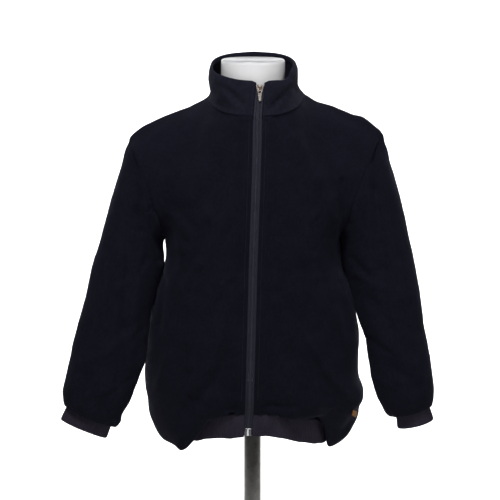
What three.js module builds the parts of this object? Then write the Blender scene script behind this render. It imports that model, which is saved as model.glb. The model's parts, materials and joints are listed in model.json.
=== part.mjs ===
// A fleece zip jacket with rib cuffs and a rib waistband, resting on a limbless dress form.
// Millimetres, +Z up. The front faces -Y and the origin is under the middle of the base.
import * as THREE from 'three';

// Cloth and clearances
const FLEECE = 2.0;
const COLLAR_THICKNESS = 4.6;
const RIB_WALL = 2.0;
const RIB_HEIGHT = 0.6;
const SEAM_INSET = 0.3;
const SEAT = 0.35;

// Zip
const CHAIN_WIDTH = 6.0;
const CHAIN_DEPTH = 2.6;
const TAPE_THICKNESS = 0.8;
const TAPE_OUTER = 13.0;
const TAPE_SLOPE = 1.2;
const ZIP_OPENING = 7.0;
const ZIP_BOTTOM_Z = 629.5;
const ZIP_TOP_Z = 1182.0;
const TAPE_FRONT = FLEECE + SEAT;
const CHAIN_FRONT = TAPE_FRONT + TAPE_THICKNESS / 2 - CHAIN_DEPTH / 2;
const BOX_SIZE = { width: 9.4, height: 12.0, depth: 4.6 };
const SLIDER = { z: 1174, width: 10.6, length: 13, plate: 1.2, web: 3, gap: 0.35 };
const CROWN = { width: 1.8, length: 5.6, leg: 1.2, opening: 1.9, roof: 1.1 };
const PULL = { width: 5.8, bar: 1.2, hole: 3.8, holeWidth: 2.8, length: 17, thickness: 1.2 };

// Dress form and stand
const POLE_RADIUS = 14.0;
const BASE_RADIUS = 150.0;
const BASE_HEIGHT = 14.0;
const FORM_BOTTOM_Z = 712.0;

// Grid sizes
const PANEL_COLUMNS = 12;
const NECK_COLUMNS = 5;
const ARMHOLE_ROWS = 10;
const NECK_SHARE = NECK_COLUMNS / PANEL_COLUMNS;
const BODY_ROWS = [0, 1, 2, 3, 4, 5, 5.5, 6, 6.5, 7, 7.5, 8, 9, 10];
const SLEEVE_ROWS = [0, 1, 2, 3, 4, 4.5, 5, 5.5, 6, 6.5, 7, 8, 9, 10, 11, 12, 13, 14, 15, 16, 17];

// Body sections from the seam on the rib (0) round the blousing roll and up to the armpits (10).
// zip, front, side and back are heights, left and right half widths, frontY and backY depths.
const BODY_COLUMNS = ['zip', 'front', 'side', 'back', 'left', 'right', 'frontY', 'backY'];
const BODY_SECTIONS = [
  [664.6, 667, 641, 655, 113.2, 124.2, -100.2, 93.2],
  [666.5, 660, 612, 643, 116, 127, -102, 95.5],
  [668.5, 656, 596, 637, 126, 133, -106, 100],
  [671.5, 659, 600, 640, 142, 146, -110.5, 105],
  [678, 670, 620, 653, 157, 164, -113.5, 109],
  [692, 690, 656, 684, 169, 177, -115, 112],
  [730, 730, 715, 727, 171, 172, -115.5, 113],
  [790, 790, 790, 790, 166, 170, -114.5, 112],
  [850, 850, 850, 850, 153, 157.5, -113.5, 110],
  [893, 893, 893, 893, 139, 141.5, -112.5, 106],
  [930, 930, 932, 932, 139.5, 140.5, -111.5, 102],
].map((row) => named(BODY_COLUMNS, row));

// Half of the armhole from the armpit (0) to the shoulder point (5).
const ARM_COLUMNS = ['left', 'right', 'frontY', 'backY', 'leftZ', 'rightZ'];
const ARMHOLE = [
  [139.5, 140.5, -5, -5, 932, 932],
  [143, 145, -36, 30, 948, 949],
  [154, 156, -53, 50, 986, 988],
  [171, 175, -48, 48, 1030, 1034],
  [188, 193, -29, 28, 1070, 1075],
  [199.4, 204.5, 0, 0, 1093, 1098],
].map((row) => named(ARM_COLUMNS, row));

// Shoulder seam from the neck (0) to the shoulder point (4).
const SHOULDER_COLUMNS = ['left', 'leftZ', 'right', 'rightZ', 'y'];
const SHOULDER = [
  [70, 1157, 82, 1161, 4],
  [99, 1143, 104, 1149.5, 3],
  [140, 1127, 140, 1137.5, 2],
  [173, 1111, 177, 1121.5, 1],
  [199.4, 1093, 204.5, 1098, 0],
].map((row) => named(SHOULDER_COLUMNS, row));

// Sleeve sections from the armhole (0) to the seam on the cuff (17). inner and outer are the two
// edges seen from the front, y the middle and depth half of the front-to-back size.
const SLEEVE_COLUMNS = ['innerX', 'innerZ', 'outerX', 'outerZ', 'y', 'depth'];
const SLEEVE_LEFT = [
  [139.5, 932, 199.4, 1093, 0, 52],
  [142.3, 928, 203, 1072, -1, 52],
  [143.4, 921, 208, 1048, -2, 51],
  [143, 911, 218, 1018, -4, 49],
  [142, 896, 231, 975, -9, 46],
  [148, 866, 243.5, 930, -16, 44],
  [156, 838, 255, 892, -23, 42],
  [163, 805, 266, 842, -32, 40],
  [166, 772, 276.5, 805, -38, 38],
  [169.5, 742, 287, 765, -43, 36],
  [177, 722, 294, 735, -47, 34],
  [186, 700, 301, 708, -50, 33],
  [196, 674, 305, 692, -51.5, 32],
  [208, 653, 304.8, 684, -53, 30],
  [210.5, 641, 304, 675, -54, 26],
  [218.5, 632.5, 301, 667.3, -55, 20.5],
  [222.2, 637.5, 297.4, 670, -55, 17.2],
  [220.2, 650, 292.4, 679, -55, 15.6],
].map((row) => named(SLEEVE_COLUMNS, row));
const SLEEVE_RIGHT = [
  [140.5, 932, 204.5, 1098, 0, 52],
  [143.5, 928, 214, 1078, -1, 52],
  [145, 921, 220, 1054, -2, 51],
  [145.6, 911, 229, 1023, -4, 50],
  [146.6, 897, 240.5, 978, -9, 47],
  [153, 868, 251, 930, -16, 45],
  [160, 840, 259, 890, -23, 43],
  [167, 808, 267, 842, -32, 42],
  [180, 776, 272.5, 805, -38, 41],
  [185, 745, 280, 765, -43, 40],
  [189, 718, 286, 730, -46, 39],
  [193.5, 698, 290.2, 703, -48, 38],
  [198, 684, 291, 693, -49, 37],
  [205, 669, 290.8, 683, -50, 34],
  [211.5, 656, 289.5, 673, -50, 30],
  [220, 649, 287, 667.5, -50, 26.5],
  [224.2, 654.5, 284.2, 670.5, -50, 23.6],
  [225, 666, 281.2, 680.2, -50, 22.2],
].map((row) => named(SLEEVE_COLUMNS, row));

// Rib pieces: the two edges of each cuff at its top and bottom, and the waistband's loop.
const CUFF_RIBS = 38;
const CUFF_LEFT = [
  [221.5, 650.5, 290.8, 679.7, -55, 14],
  [233.5, 614.1, 308.3, 645.5, -55, 14.5],
].map((row) => named(SLEEVE_COLUMNS, row));
const CUFF_RIGHT = [
  [226.5, 667, 279.5, 681, -50, 20.5],
  [233.7, 629.4, 291.3, 644.6, -50, 21.5],
].map((row) => named(SLEEVE_COLUMNS, row));
const BAND_RIBS = 148;
const BAND = {
  left: 112, right: 123, backY: 92, power: 2.15,
  top: { zip: 664, front: 668, side: 642, back: 656 },
  bottom: { zip: 629, front: 628, side: 603, back: 616 },
};

// Zip centre line from the hem to the top of the collar.
const ZIP_COLUMNS = ['z', 'x', 'y'];
const ZIP_LINE = [
  [627, -7.3, -98],
  [664, -5.6, -99.5],
  [692, -4.6, -107],
  [730, -3.6, -111],
  [790, -2, -112.5],
  [850, -0.5, -112.5],
  [930, 1.6, -111.5],
  [1000, 4, -108.5],
  [1060, 6, -102],
  [1100, 7, -95.5],
  [1136, 7.8, -88],
  [1160, 8.8, -79.5],
  [1184, 9.9, -71],
].map((row) => named(ZIP_COLUMNS, row));

// Collar rings by angle from the front edge to the back middle, 0 to 4 on each side.
const COLLAR_COLUMNS = ['baseLeftZ', 'baseRightZ', 'topLeftZ', 'topRightZ'];
const COLLAR_RING = [
  [1136, 1136, 1183, 1183],
  [1141.5, 1143, 1189, 1188],
  [1157, 1161, 1208, 1210],
  [1163, 1165, 1219, 1220],
  [1165, 1165, 1223, 1223],
].map((row) => named(COLLAR_COLUMNS, row));
const COLLAR_BASE = { left: 70, right: 82, middle: 6, frontY: -88, sideY: 4, backY: 68 };
const COLLAR_TOP = { left: 64.5, right: 65.5, middle: 1.5, frontY: -70, sideY: 2, backY: 60 };
const COLLAR_BULGE = { left: 5.0, right: 2.2 };
// Where along the front's half the hem roll drops from the middle height to the side height.
const HEM_DROP = { left: [0.28, 0.54], right: [0.5, 0.86] };

// Folds as soft ridges and troughs along a line from (x1, z1) to (x2, z2).
const FOLD_COLUMNS = ['x1', 'z1', 'x2', 'z2', 'width', 'height'];
const FRONT_FOLDS = [
  [69, 1099, 104, 1037, 11, 3.2],
  [104, 1037, 131, 974, 11, 3.0],
  [88, 1070, 122, 985, 12, -2.2],
  [73, 938, 97, 883, 9, 2.6],
  [97, 883, 108, 835, 9, 2.2],
  [90, 785, 117, 736, 10, 2.6],
  [117, 736, 146, 688, 10, 3.0],
  [62, 770, 96, 700, 13, -2.4],
  [-27, 1001, -82, 907, 11, 2.2],
  [-48, 791, -67, 742, 10, 2.4],
  [-67, 742, -106, 686, 11, 3.0],
  [-95, 807, -98, 750, 10, 2.2],
  [-66, 1114, -94, 1005, 12, 2.6],
  [-40, 760, -84, 690, 11, -2.6],
  [-99, 690, -112, 637, 9, -4.5],
  [-30, 700, -34, 664, 9, -2.4],
  [28, 705, 34, 664, 10, -2.6],
  [80, 700, 84, 660, 10, -3.0],
  [118, 690, 112, 640, 9, -2.6],
  [-70, 690, -66, 650, 9, 2.2],
].map((row) => named(FOLD_COLUMNS, row));
const BACK_FOLDS = [
  [-118, 985, -70, 900, 13, 3.0],
  [112, 975, 74, 905, 13, 2.6],
  [-100, 830, -38, 770, 13, 2.6],
  [96, 815, 52, 735, 12, -2.8],
  [-12, 790, -22, 690, 13, -2.4],
  [-92, 735, -84, 655, 11, 3.0],
  [34, 730, 40, 650, 11, 2.8],
  [104, 725, 100, 650, 10, -3.0],
  [-44, 712, -48, 650, 10, -2.6],
  [0, 1120, 6, 1010, 16, -1.8],
].map((row) => named(FOLD_COLUMNS, row));
const SLEEVE_FOLDS_FRONT = [
  [-150, 985, -134, 1022, 8, -3.2],
  [-134, 1020, -116, 1000, 7, -2.6],
  [-130, 1016, -151, 950, 8, 3.0],
  [-182, 1085, -186, 978, 10, -2.6],
  [-186, 978, -202, 798, 10, -3.4],
  [-202, 798, -212, 700, 10, -3.0],
  [-232, 900, -246, 800, 14, 2.0],
  [-170, 820, -186, 720, 10, -2.6],
  [-262, 720, -276, 676, 8, -2.6],
  [-236, 712, -244, 664, 8, 2.4],
  [193, 1087, 196, 1012, 10, -2.6],
  [196, 1012, 204, 890, 10, -3.0],
  [222, 960, 236, 850, 14, 2.0],
  [186, 842, 226, 792, 10, -2.6],
  [200, 790, 250, 742, 11, 2.6],
  [214, 740, 262, 706, 9, -2.4],
  [238, 712, 244, 672, 8, 2.4],
].map((row) => named(FOLD_COLUMNS, row));
const SLEEVE_FOLDS_BACK = [
  [-176, 1050, -214, 960, 12, -2.8],
  [-172, 930, -232, 880, 12, 2.8],
  [-184, 850, -240, 820, 11, -2.8],
  [-200, 790, -272, 760, 12, 2.6],
  [-216, 730, -284, 716, 10, -2.4],
  [-246, 706, -252, 662, 8, 2.2],
  [180, 1060, 224, 975, 12, -2.6],
  [168, 930, 232, 868, 12, 2.8],
  [180, 850, 250, 815, 11, -2.8],
  [202, 782, 262, 762, 12, 2.6],
  [212, 728, 276, 714, 10, -2.2],
  [250, 706, 254, 668, 8, 2.2],
].map((row) => named(FOLD_COLUMNS, row));

// Form sections: height, half width, middle, front and back depth.
const FORM_COLUMNS = ['z', 'half', 'middle', 'frontY', 'backY'];
const FORM_SECTIONS = [
  [712, 118, 1, -70, 70],
  [718, 127, 1, -78, 77],
  [740, 133, 1, -84, 83],
  [790, 130, 1, -84, 80],
  [850, 121, 1, -84, 76],
  [900, 119, 1, -90, 76],
  [950, 121, 1, -95, 78],
  [1000, 128, 1, -92, 78],
  [1040, 138, 1, -84, 74],
  [1062, 147, 1, -74, 68],
  [1080, 151, 2, -60, 54],
  [1096, 150, 2, -48, 44],
  [1110, 140, 3, -38, 35],
  [1122, 123.5, 4.5, -31, 31],
  [1134, 102.3, 6.2, -29.4, 29.5],
  [1144, 79.2, 6.2, -34.6, 33.5],
].map((row) => named(FORM_COLUMNS, row));
const NECK_SECTIONS = [
  [1144.3, 62, 3, -46, 39],
  [1160, 53.5, 1, -58, 38],
  [1180, 50.5, 0.7, -61, 38],
  [1205, 50.3, 0.7, -61.5, 38],
  [1216, 50.2, 0.7, -61.5, 38],
  [1220.5, 47, 0.7, -58, 35],
].map((row) => named(FORM_COLUMNS, row));

const COLOURS = {
  fleece: { color: 0x16171f, roughness: 0.95, metalness: 0 },
  collar: { color: 0x1b1b23, roughness: 0.95, metalness: 0 },
  rib: { color: 0x232028, roughness: 0.9, metalness: 0 },
  tape: { color: 0x2c2d38, roughness: 0.8, metalness: 0 },
  chain: { color: 0x3a3b47, roughness: 0.45, metalness: 0 },
  slider: { color: 0x8d8279, roughness: 0.35, metalness: 0.9 },
  steel: { color: 0xc6c6c4, roughness: 0.25, metalness: 0.9 },
  tab: { color: 0xbe6e28, roughness: 0.85, metalness: 0 },
  form: { color: 0xe6e6e6, roughness: 0.3, metalness: 0 },
  chrome: { color: 0xa8a8a8, roughness: 0.12, metalness: 1 },
};

function named(columns, row) {
  return Object.fromEntries(columns.map((name, index) => [name, row[index]]));
}

function clamp01(value) {
  return Math.min(1, Math.max(0, value));
}

function smooth(value) {
  const t = clamp01(value);
  return t * t * (3 - 2 * t);
}

function lerp(a, b, t) {
  return a + (b - a) * t;
}

// Smooth reading of one column of a table at a fractional row.
function read(table, column, position) {
  const last = table.length - 1;
  const p = Math.min(last, Math.max(0, position));
  const index = Math.min(last - 1, Math.floor(p));
  const t = p - index;
  const value = (i) => table[Math.min(last, Math.max(0, i))][column];
  const before = index > 0 ? value(index - 1) : 2 * value(0) - value(1);
  const after = index + 2 <= last ? value(index + 2) : 2 * value(last) - value(last - 1);
  const start = (value(index + 1) - before) / 2;
  const end = (after - value(index)) / 2;
  const t2 = t * t;
  const t3 = t2 * t;
  return (2 * t3 - 3 * t2 + 1) * value(index) + (t3 - 2 * t2 + t) * start
    + (3 * t2 - 2 * t3) * value(index + 1) + (t3 - t2) * end;
}

// Row position of a height in a table that is sorted by z.
function rowAt(table, z) {
  let index = 0;
  while (index < table.length - 2 && table[index + 1].z < z) {
    index += 1;
  }
  return index + (z - table[index].z) / (table[index + 1].z - table[index].z);
}

function zipAt(z) {
  const row = rowAt(ZIP_LINE, z);
  return new THREE.Vector3(read(ZIP_LINE, 'x', row), read(ZIP_LINE, 'y', row), z);
}

// A quarter of a rounded section: u 0 is the middle and u 1 the side.
function quarter(u, startX, sideX, sideY, endY, power) {
  const angle = clamp01(u) * Math.PI / 2;
  const across = Math.sin(angle) ** (2 / power);
  const along = Math.cos(angle) ** (2 / power);
  return { x: lerp(startX, sideX, across), y: lerp(sideY, endY, along) };
}

// Height that runs from the middle value to the side value round a quarter.
function roundHeight(middle, side, u) {
  const t = Math.sin(clamp01(u) * Math.PI / 2);
  return lerp(middle, side, t * t);
}

function frontSection(side, u, row) {
  const get = (column) => read(BODY_SECTIONS, column, row);
  const away = smooth(u / 0.3);
  const middle = lerp(get('zip'), get('front'), away);
  const [from, to] = side < 0 ? HEM_DROP.left : HEM_DROP.right;
  const dropped = lerp(middle, get('side'), smooth((u - from) / (to - from)));
  const roll = smooth(row / 1.2) * (1 - smooth((row - 3.5) / 2.5));
  const z = lerp(roundHeight(middle, get('side'), u), dropped, roll);
  const zip = zipAt(get('zip'));
  const reach = side < 0 ? -get('left') : get('right');
  const frontY = lerp(zip.y, get('frontY'), away);
  const flat = quarter(u, zip.x + side * ZIP_OPENING, reach, -5, frontY, 2.3);
  return new THREE.Vector3(flat.x, flat.y, z);
}

function backSection(side, u, row) {
  const get = (column) => read(BODY_SECTIONS, column, row);
  const reach = side < 0 ? -get('left') : get('right');
  const flat = quarter(u, 1, reach, -5, get('backY'), 2.3);
  return new THREE.Vector3(flat.x, flat.y, roundHeight(get('back'), get('side'), u));
}

function armholePoint(side, face, w) {
  const row = clamp01(w) * (ARMHOLE.length - 1);
  const x = side < 0 ? -read(ARMHOLE, 'left', row) : read(ARMHOLE, 'right', row);
  const z = read(ARMHOLE, side < 0 ? 'leftZ' : 'rightZ', row);
  return new THREE.Vector3(x, read(ARMHOLE, face === 'front' ? 'frontY' : 'backY', row), z);
}

function shoulderPoint(side, t) {
  const row = clamp01(t) * (SHOULDER.length - 1);
  const x = side < 0 ? -read(SHOULDER, 'left', row) : read(SHOULDER, 'right', row);
  const z = read(SHOULDER, side < 0 ? 'leftZ' : 'rightZ', row);
  return new THREE.Vector3(x, read(SHOULDER, 'y', row), z);
}

// The collar's lower or upper ring: t 0 front edge, 0.5 the side and 1 the back middle.
function collarRing(side, t, ring, level) {
  const front = t < 0.5;
  const u = front ? t * 2 : (1 - t) * 2;
  const reach = side < 0 ? -ring.left : ring.right;
  const height = read(COLLAR_RING, `${level}${side < 0 ? 'Left' : 'Right'}Z`, t * 4);
  const edge = zipAt(level === 'base' ? 1136 : 1183).x + side * ZIP_OPENING;
  const startX = front ? edge : ring.middle;
  const endY = front ? ring.frontY : ring.backY;
  const flat = quarter(u, startX, reach, ring.sideY, endY, 2.1);
  return new THREE.Vector3(flat.x, flat.y, height);
}

// Top edge of a panel: the neckline and then the shoulder seam.
function topEdge(side, face, u) {
  if (u <= NECK_SHARE) {
    const t = u / NECK_SHARE * 0.5;
    return collarRing(side, face === 'front' ? t : 1 - t, COLLAR_BASE, 'base');
  }
  return shoulderPoint(side, (u - NECK_SHARE) / (1 - NECK_SHARE));
}

// Upper part of a panel between the chest line (w 0) and the top edge (w 1).
function upperPoint(side, face, u, w) {
  const chest = (t) => (face === 'front' ? frontSection : backSection)(side, t, 10);
  const base = (t) => {
    const low = chest(t);
    const high = topEdge(side, face, t);
    const angle = w * Math.PI / 2;
    const across = lerp(1 - Math.cos(angle), w, 0.12);
    return new THREE.Vector3(
      lerp(low.x, high.x, across),
      lerp(low.y, high.y, across),
      lerp(low.z, high.z, lerp(Math.sin(angle), w, 0.35)),
    );
  };
  const point = base(u);
  const armShare = clamp01(u) ** 3;
  point.addScaledVector(armholePoint(side, face, w).sub(base(1)), armShare);
  if (face === 'front') {
    const start = base(0);
    const edge = zipAt(start.z);
    edge.x += side * ZIP_OPENING;
    point.addScaledVector(edge.sub(start), (1 - u) ** 4);
  }
  return point;
}

// Distance-based height of all folds at (x, z).
function foldHeight(folds, x, z) {
  let total = 0;
  for (const fold of folds) {
    const dx = fold.x2 - fold.x1;
    const dz = fold.z2 - fold.z1;
    const t = clamp01(((x - fold.x1) * dx + (z - fold.z1) * dz) / (dx * dx + dz * dz));
    const away = Math.hypot(x - fold.x1 - dx * t, z - fold.z1 - dz * t) / fold.width;
    total += fold.height * Math.exp(-away * away);
  }
  return total;
}

function bodyFolds(face, point) {
  const folds = face === 'front' ? FRONT_FOLDS : BACK_FOLDS;
  const height = foldHeight(folds, point.x, point.z);
  const zip = face === 'front' ? smooth((Math.abs(point.x - zipAt(point.z).x) - ZIP_OPENING) / 22) : 1;
  return height * zip;
}

// Points of a front panel, bottom row first, from the zip to the side.
function frontGrid(side) {
  const rows = BODY_ROWS.map((row) => columnsOf((u) => frontSection(side, u, row)));
  for (let step = 1; step <= ARMHOLE_ROWS; step += 1) {
    rows.push(columnsOf((u) => upperPoint(side, 'front', u, step / ARMHOLE_ROWS)));
  }
  return rows;
}

function columnsOf(point) {
  return Array.from({ length: PANEL_COLUMNS + 1 }, (_, i) => point(i / PANEL_COLUMNS));
}

// Points of the back from the left side seam to the right one.
function backGrid() {
  const bothHalves = (point) => {
    const left = columnsOf((u) => point(-1, u)).reverse();
    const right = columnsOf((u) => point(1, u)).slice(1);
    return [...left, ...right];
  };
  const rows = BODY_ROWS.map((row) => bothHalves((side, u) => backSection(side, u, row)));
  for (let step = 1; step <= ARMHOLE_ROWS; step += 1) {
    rows.push(bothHalves((side, u) => upperPoint(side, 'back', u, step / ARMHOLE_ROWS)));
  }
  for (const row of rows) {
    const middle = row[PANEL_COLUMNS];
    middle.x = (row[PANEL_COLUMNS - 1].x + row[PANEL_COLUMNS + 1].x) / 2;
  }
  return rows;
}

// Rings of a sleeve: the first is the armhole, each starts at the armpit and runs by the front.
function sleeveGrid(side) {
  const table = side < 0 ? SLEEVE_LEFT : SLEEVE_RIGHT;
  const around = 2 * ARMHOLE_ROWS;
  return SLEEVE_ROWS.map((row) => Array.from({ length: around }, (_, k) => {
    const armhole = sleeveStart(side, k);
    if (row === 0) {
      return armhole;
    }
    const get = (column) => read(table, column, row);
    const ring = ovalPoint(side, get, (k / around) * Math.PI * 2);
    const free = smooth(row / 4.5);
    const shape = startShape(side, table, armhole, k / around);
    return ring.addScaledVector(shape, 1 - free);
  }));
}

function sleeveStart(side, k) {
  const forward = k <= ARMHOLE_ROWS;
  const w = forward ? k / ARMHOLE_ROWS : (2 * ARMHOLE_ROWS - k) / ARMHOLE_ROWS;
  return armholePoint(side, forward ? 'front' : 'back', w);
}

// How far the armhole differs from the plain oval of the first section.
function startShape(side, table, armhole, share) {
  const get = (column) => table[0][column];
  return armhole.clone().sub(ovalPoint(side, get, share * Math.PI * 2));
}

function ovalPoint(side, get, angle) {
  const t = (1 - Math.cos(angle)) / 2;
  return new THREE.Vector3(
    side * lerp(get('innerX'), get('outerX'), t),
    get('y') - get('depth') * Math.sin(angle),
    lerp(get('innerZ'), get('outerZ'), t),
  );
}

// Rings of the collar's outer face from its seam to the rounded top.
function collarGrid() {
  const across = [];
  const total = 4 * NECK_COLUMNS;
  for (let i = 0; i <= total; i += 1) {
    const side = i < total / 2 ? -1 : 1;
    across.push({ side, t: side < 0 ? i / (total / 2) : (total - i) / (total / 2) });
  }
  return [0, 0.25, 0.5, 0.75, 0.93, 1].map((level) => across.map(({ side, t }) => {
    const low = collarRing(side, t, COLLAR_BASE, 'base');
    const high = collarRing(side, t, COLLAR_TOP, 'top');
    const point = low.lerp(high, level);
    const most = side < 0 ? COLLAR_BULGE.left : COLLAR_BULGE.right;
    const bulge = most * Math.sin(level * Math.PI) * Math.sin(Math.PI * clamp01(t * 1.6));
    const out = new THREE.Vector2(point.x - 4, point.y + 8).normalize();
    point.x += out.x * bulge;
    point.y += out.y * bulge;
    return point;
  }));
}

// Waistband points from zip edge to zip edge; ribs alternate in pairs of columns.
function bandPoint(share, level, out) {
  const side = share < 0.5 ? -1 : 1;
  const t = side < 0 ? share * 2 : (1 - share) * 2;
  const front = t < 0.5;
  const u = front ? t * 2 : (1 - t) * 2;
  const away = smooth(u / 0.3);
  const heights = level > 0.5 ? BAND.top : BAND.bottom;
  const middle = front ? lerp(heights.zip, heights.front, away) : heights.back;
  const zip = zipAt(heights.zip);
  const reach = side < 0 ? -BAND.left : BAND.right;
  const start = front ? zip.x + side * ZIP_OPENING : 1;
  const endY = front ? zip.y : BAND.backY;
  const flat = quarter(u, start, reach, 0, endY, BAND.power);
  const normal = new THREE.Vector2(flat.x - 5, flat.y).normalize();
  const z = roundHeight(middle, heights.side, u);
  return new THREE.Vector3(flat.x + normal.x * out, flat.y + normal.y * out, z);
}

function bandGrids() {
  const steps = BAND_RIBS * 2;
  const rib = (i) => (Math.floor(i / 2) % 2 === 0 ? 0 : -RIB_HEIGHT);
  const share = (i) => bandShare(i / steps);
  const outer = [0, 1].map((level) => indices(steps).map((i) => bandPoint(share(i), level, rib(i))));
  const inner = [0, 1].map((level) => indices(steps).map((i) => bandPoint(share(i), level, -RIB_WALL)));
  return { outer, inner };
}

// Share of the way round at an even spacing by length.
function bandShare(length) {
  const samples = 400;
  let total = 0;
  const sums = [0];
  for (let i = 1; i <= samples; i += 1) {
    total += bandPoint((i - 1) / samples, 1, 0).distanceTo(bandPoint(i / samples, 1, 0));
    sums.push(total);
  }
  const wanted = clamp01(length) * total;
  let index = 1;
  while (index < samples && sums[index] < wanted) {
    index += 1;
  }
  return (index - 1 + (wanted - sums[index - 1]) / (sums[index] - sums[index - 1])) / samples;
}

function indices(last) {
  return Array.from({ length: last + 1 }, (_, i) => i);
}

// A closed solid from an outer and an inner grid of the same size.
function wallGeometry(outer, inner, closed, flip) {
  const rows = outer.length;
  const columns = outer[0].length;
  const positions = [];
  for (const grid of [outer, inner]) {
    for (const row of grid) {
      for (const point of row) {
        positions.push(point.x, point.y, point.z);
      }
    }
  }
  const faces = [];
  const at = (layer, j, i) => layer * rows * columns + j * columns + (i % columns);
  const quad = (a, b, c, d) => {
    faces.push(...(flip ? [a, c, b, a, d, c] : [a, b, c, a, c, d]));
  };
  const last = closed ? columns : columns - 1;
  for (let j = 0; j < rows - 1; j += 1) {
    for (let i = 0; i < last; i += 1) {
      quad(at(0, j, i), at(0, j, i + 1), at(0, j + 1, i + 1), at(0, j + 1, i));
      quad(at(1, j, i + 1), at(1, j, i), at(1, j + 1, i), at(1, j + 1, i + 1));
    }
  }
  for (let i = 0; i < last; i += 1) {
    quad(at(1, 0, i), at(1, 0, i + 1), at(0, 0, i + 1), at(0, 0, i));
    quad(at(0, rows - 1, i), at(0, rows - 1, i + 1), at(1, rows - 1, i + 1), at(1, rows - 1, i));
  }
  if (!closed) {
    const end = columns - 1;
    for (let j = 0; j < rows - 1; j += 1) {
      quad(at(1, j, 0), at(0, j, 0), at(0, j + 1, 0), at(1, j + 1, 0));
      quad(at(0, j, end), at(1, j, end), at(1, j + 1, end), at(0, j + 1, end));
    }
  }
  return solid(positions, faces);
}

function solid(positions, faces) {
  const geometry = new THREE.BufferGeometry();
  geometry.setAttribute('position', new THREE.Float32BufferAttribute(positions, 3));
  geometry.setIndex(faces);
  geometry.computeVertexNormals();
  return geometry;
}

// Shared normals for grids that meet at seams, so that the walls behind a seam agree. Body and
// sleeves count alike where they meet, whatever the size of their faces.
function sharedNormals(grids) {
  const sums = new Map();
  const key = (p) => `${Math.round(p.x * 50)},${Math.round(p.y * 50)},${Math.round(p.z * 50)}`;
  for (const { grid, closed, flip } of grids) {
    const group = closed ? 'sleeve' : 'body';
    forQuads(grid, closed, (a, b, c, d) => {
      const normal = new THREE.Vector3().subVectors(c, a).cross(new THREE.Vector3().subVectors(d, b));
      normal.multiplyScalar(flip ? -1 : 1);
      for (const point of [a, b, c, d]) {
        const id = key(point);
        const sum = sums.get(id) ?? { body: new THREE.Vector3(), sleeve: new THREE.Vector3() };
        sum[group].add(normal);
        sums.set(id, sum);
      }
    });
  }
  return (point) => {
    const { body, sleeve } = sums.get(key(point));
    return body.clone().normalize().add(sleeve.clone().normalize()).normalize();
  };
}

function forQuads(grid, closed, visit) {
  const columns = grid[0].length;
  const last = closed ? columns : columns - 1;
  for (let j = 0; j < grid.length - 1; j += 1) {
    for (let i = 0; i < last; i += 1) {
      const next = (i + 1) % columns;
      visit(grid[j][i], grid[j][next], grid[j + 1][next], grid[j + 1][i]);
    }
  }
}

function gridNormals(grid, closed, flip) {
  const own = sharedNormals([{ grid, closed, flip }]);
  return grid.map((row) => row.map((point) => own(point)));
}

// Pulls the edges of a grid in by the seam inset, square to the seam's shared normal.
function insetEdges(grid, closed, normalAt) {
  const copy = grid.map((row) => row.map((point) => point.clone()));
  const rows = grid.length;
  const columns = grid[0].length;
  const near = (j, i) => {
    const row = grid[Math.min(rows - 1, Math.max(0, j))];
    return row[closed ? (i + columns) % columns : Math.min(columns - 1, Math.max(0, i))];
  };
  const move = (j, i, toJ, toI) => {
    const step = new THREE.Vector3().subVectors(grid[toJ][toI], grid[j][i]);
    const along = toJ === j ? [near(j - 1, i), near(j + 1, i)] : [near(j, i - 1), near(j, i + 1)];
    const tangent = new THREE.Vector3().subVectors(along[1], along[0]).normalize();
    const normal = normalAt(grid[j][i]);
    const square = new THREE.Vector3().crossVectors(normal, tangent);
    copy[j][i].addScaledVector(square.normalize(), SEAM_INSET * Math.sign(step.dot(square)));
  };
  for (let i = 0; i < columns; i += 1) {
    move(0, i, 1, i);
    move(rows - 1, i, rows - 2, i);
  }
  if (!closed) {
    for (let j = 0; j < rows; j += 1) {
      move(j, 0, j, 1);
      move(j, columns - 1, j, columns - 2);
    }
  }
  return copy;
}

// Cloth solids that share their seams. Each entry has a name, grid, closed, flip and folds.
function clothSolids(entries) {
  const shared = sharedNormals(entries);
  const moved = entries.map((entry) => {
    const grid = entry.grid.map((row) => row.map((point) => {
      return point.clone().addScaledVector(shared(point), entry.folds(point));
    }));
    return { ...entry, grid };
  });
  averageSeams(entries, moved);
  const normal = sharedNormals(moved);
  return moved.map((entry) => {
    const own = gridNormals(entry.grid, entry.closed, entry.flip);
    const edge = insetEdges(entry.grid, entry.closed, normal);
    const inner = entry.grid.map((row, j) => row.map((point, i) => {
      const direction = normal(point);
      const mitre = 1 / Math.max(0.8, direction.dot(own[j][i]));
      return edge[j][i].clone().addScaledVector(direction, -entry.thickness * mitre);
    }));
    return { ...entry, outer: edge, inner };
  });
}

// Points that two pieces share at a seam get the mean of their folds.
function averageSeams(before, after) {
  const sums = new Map();
  const key = (p) => `${Math.round(p.x * 50)},${Math.round(p.y * 50)},${Math.round(p.z * 50)}`;
  const visit = (action) => before.forEach((entry, n) => entry.grid.forEach((row, j) => {
    row.forEach((point, i) => action(key(point), after[n].grid[j][i]));
  }));
  visit((id, point) => {
    const sum = sums.get(id) ?? { total: new THREE.Vector3(), count: 0 };
    sum.total.add(point);
    sum.count += 1;
    sums.set(id, sum);
  });
  visit((id, point) => {
    const sum = sums.get(id);
    point.copy(sum.total).divideScalar(sum.count);
  });
}

function sleeveFolds(point) {
  const front = smooth((-point.y + 4) / 24);
  const back = smooth((point.y + 34) / 24) * (1 - front);
  return foldHeight(SLEEVE_FOLDS_FRONT, point.x, point.z) * front
    + foldHeight(SLEEVE_FOLDS_BACK, point.x, point.z) * back;
}

// Folds fade out on the rolls so that a roll never crosses itself.
function fadeLow(height, z, low, high) {
  return height * smooth((z - low) / (high - low));
}

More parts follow.
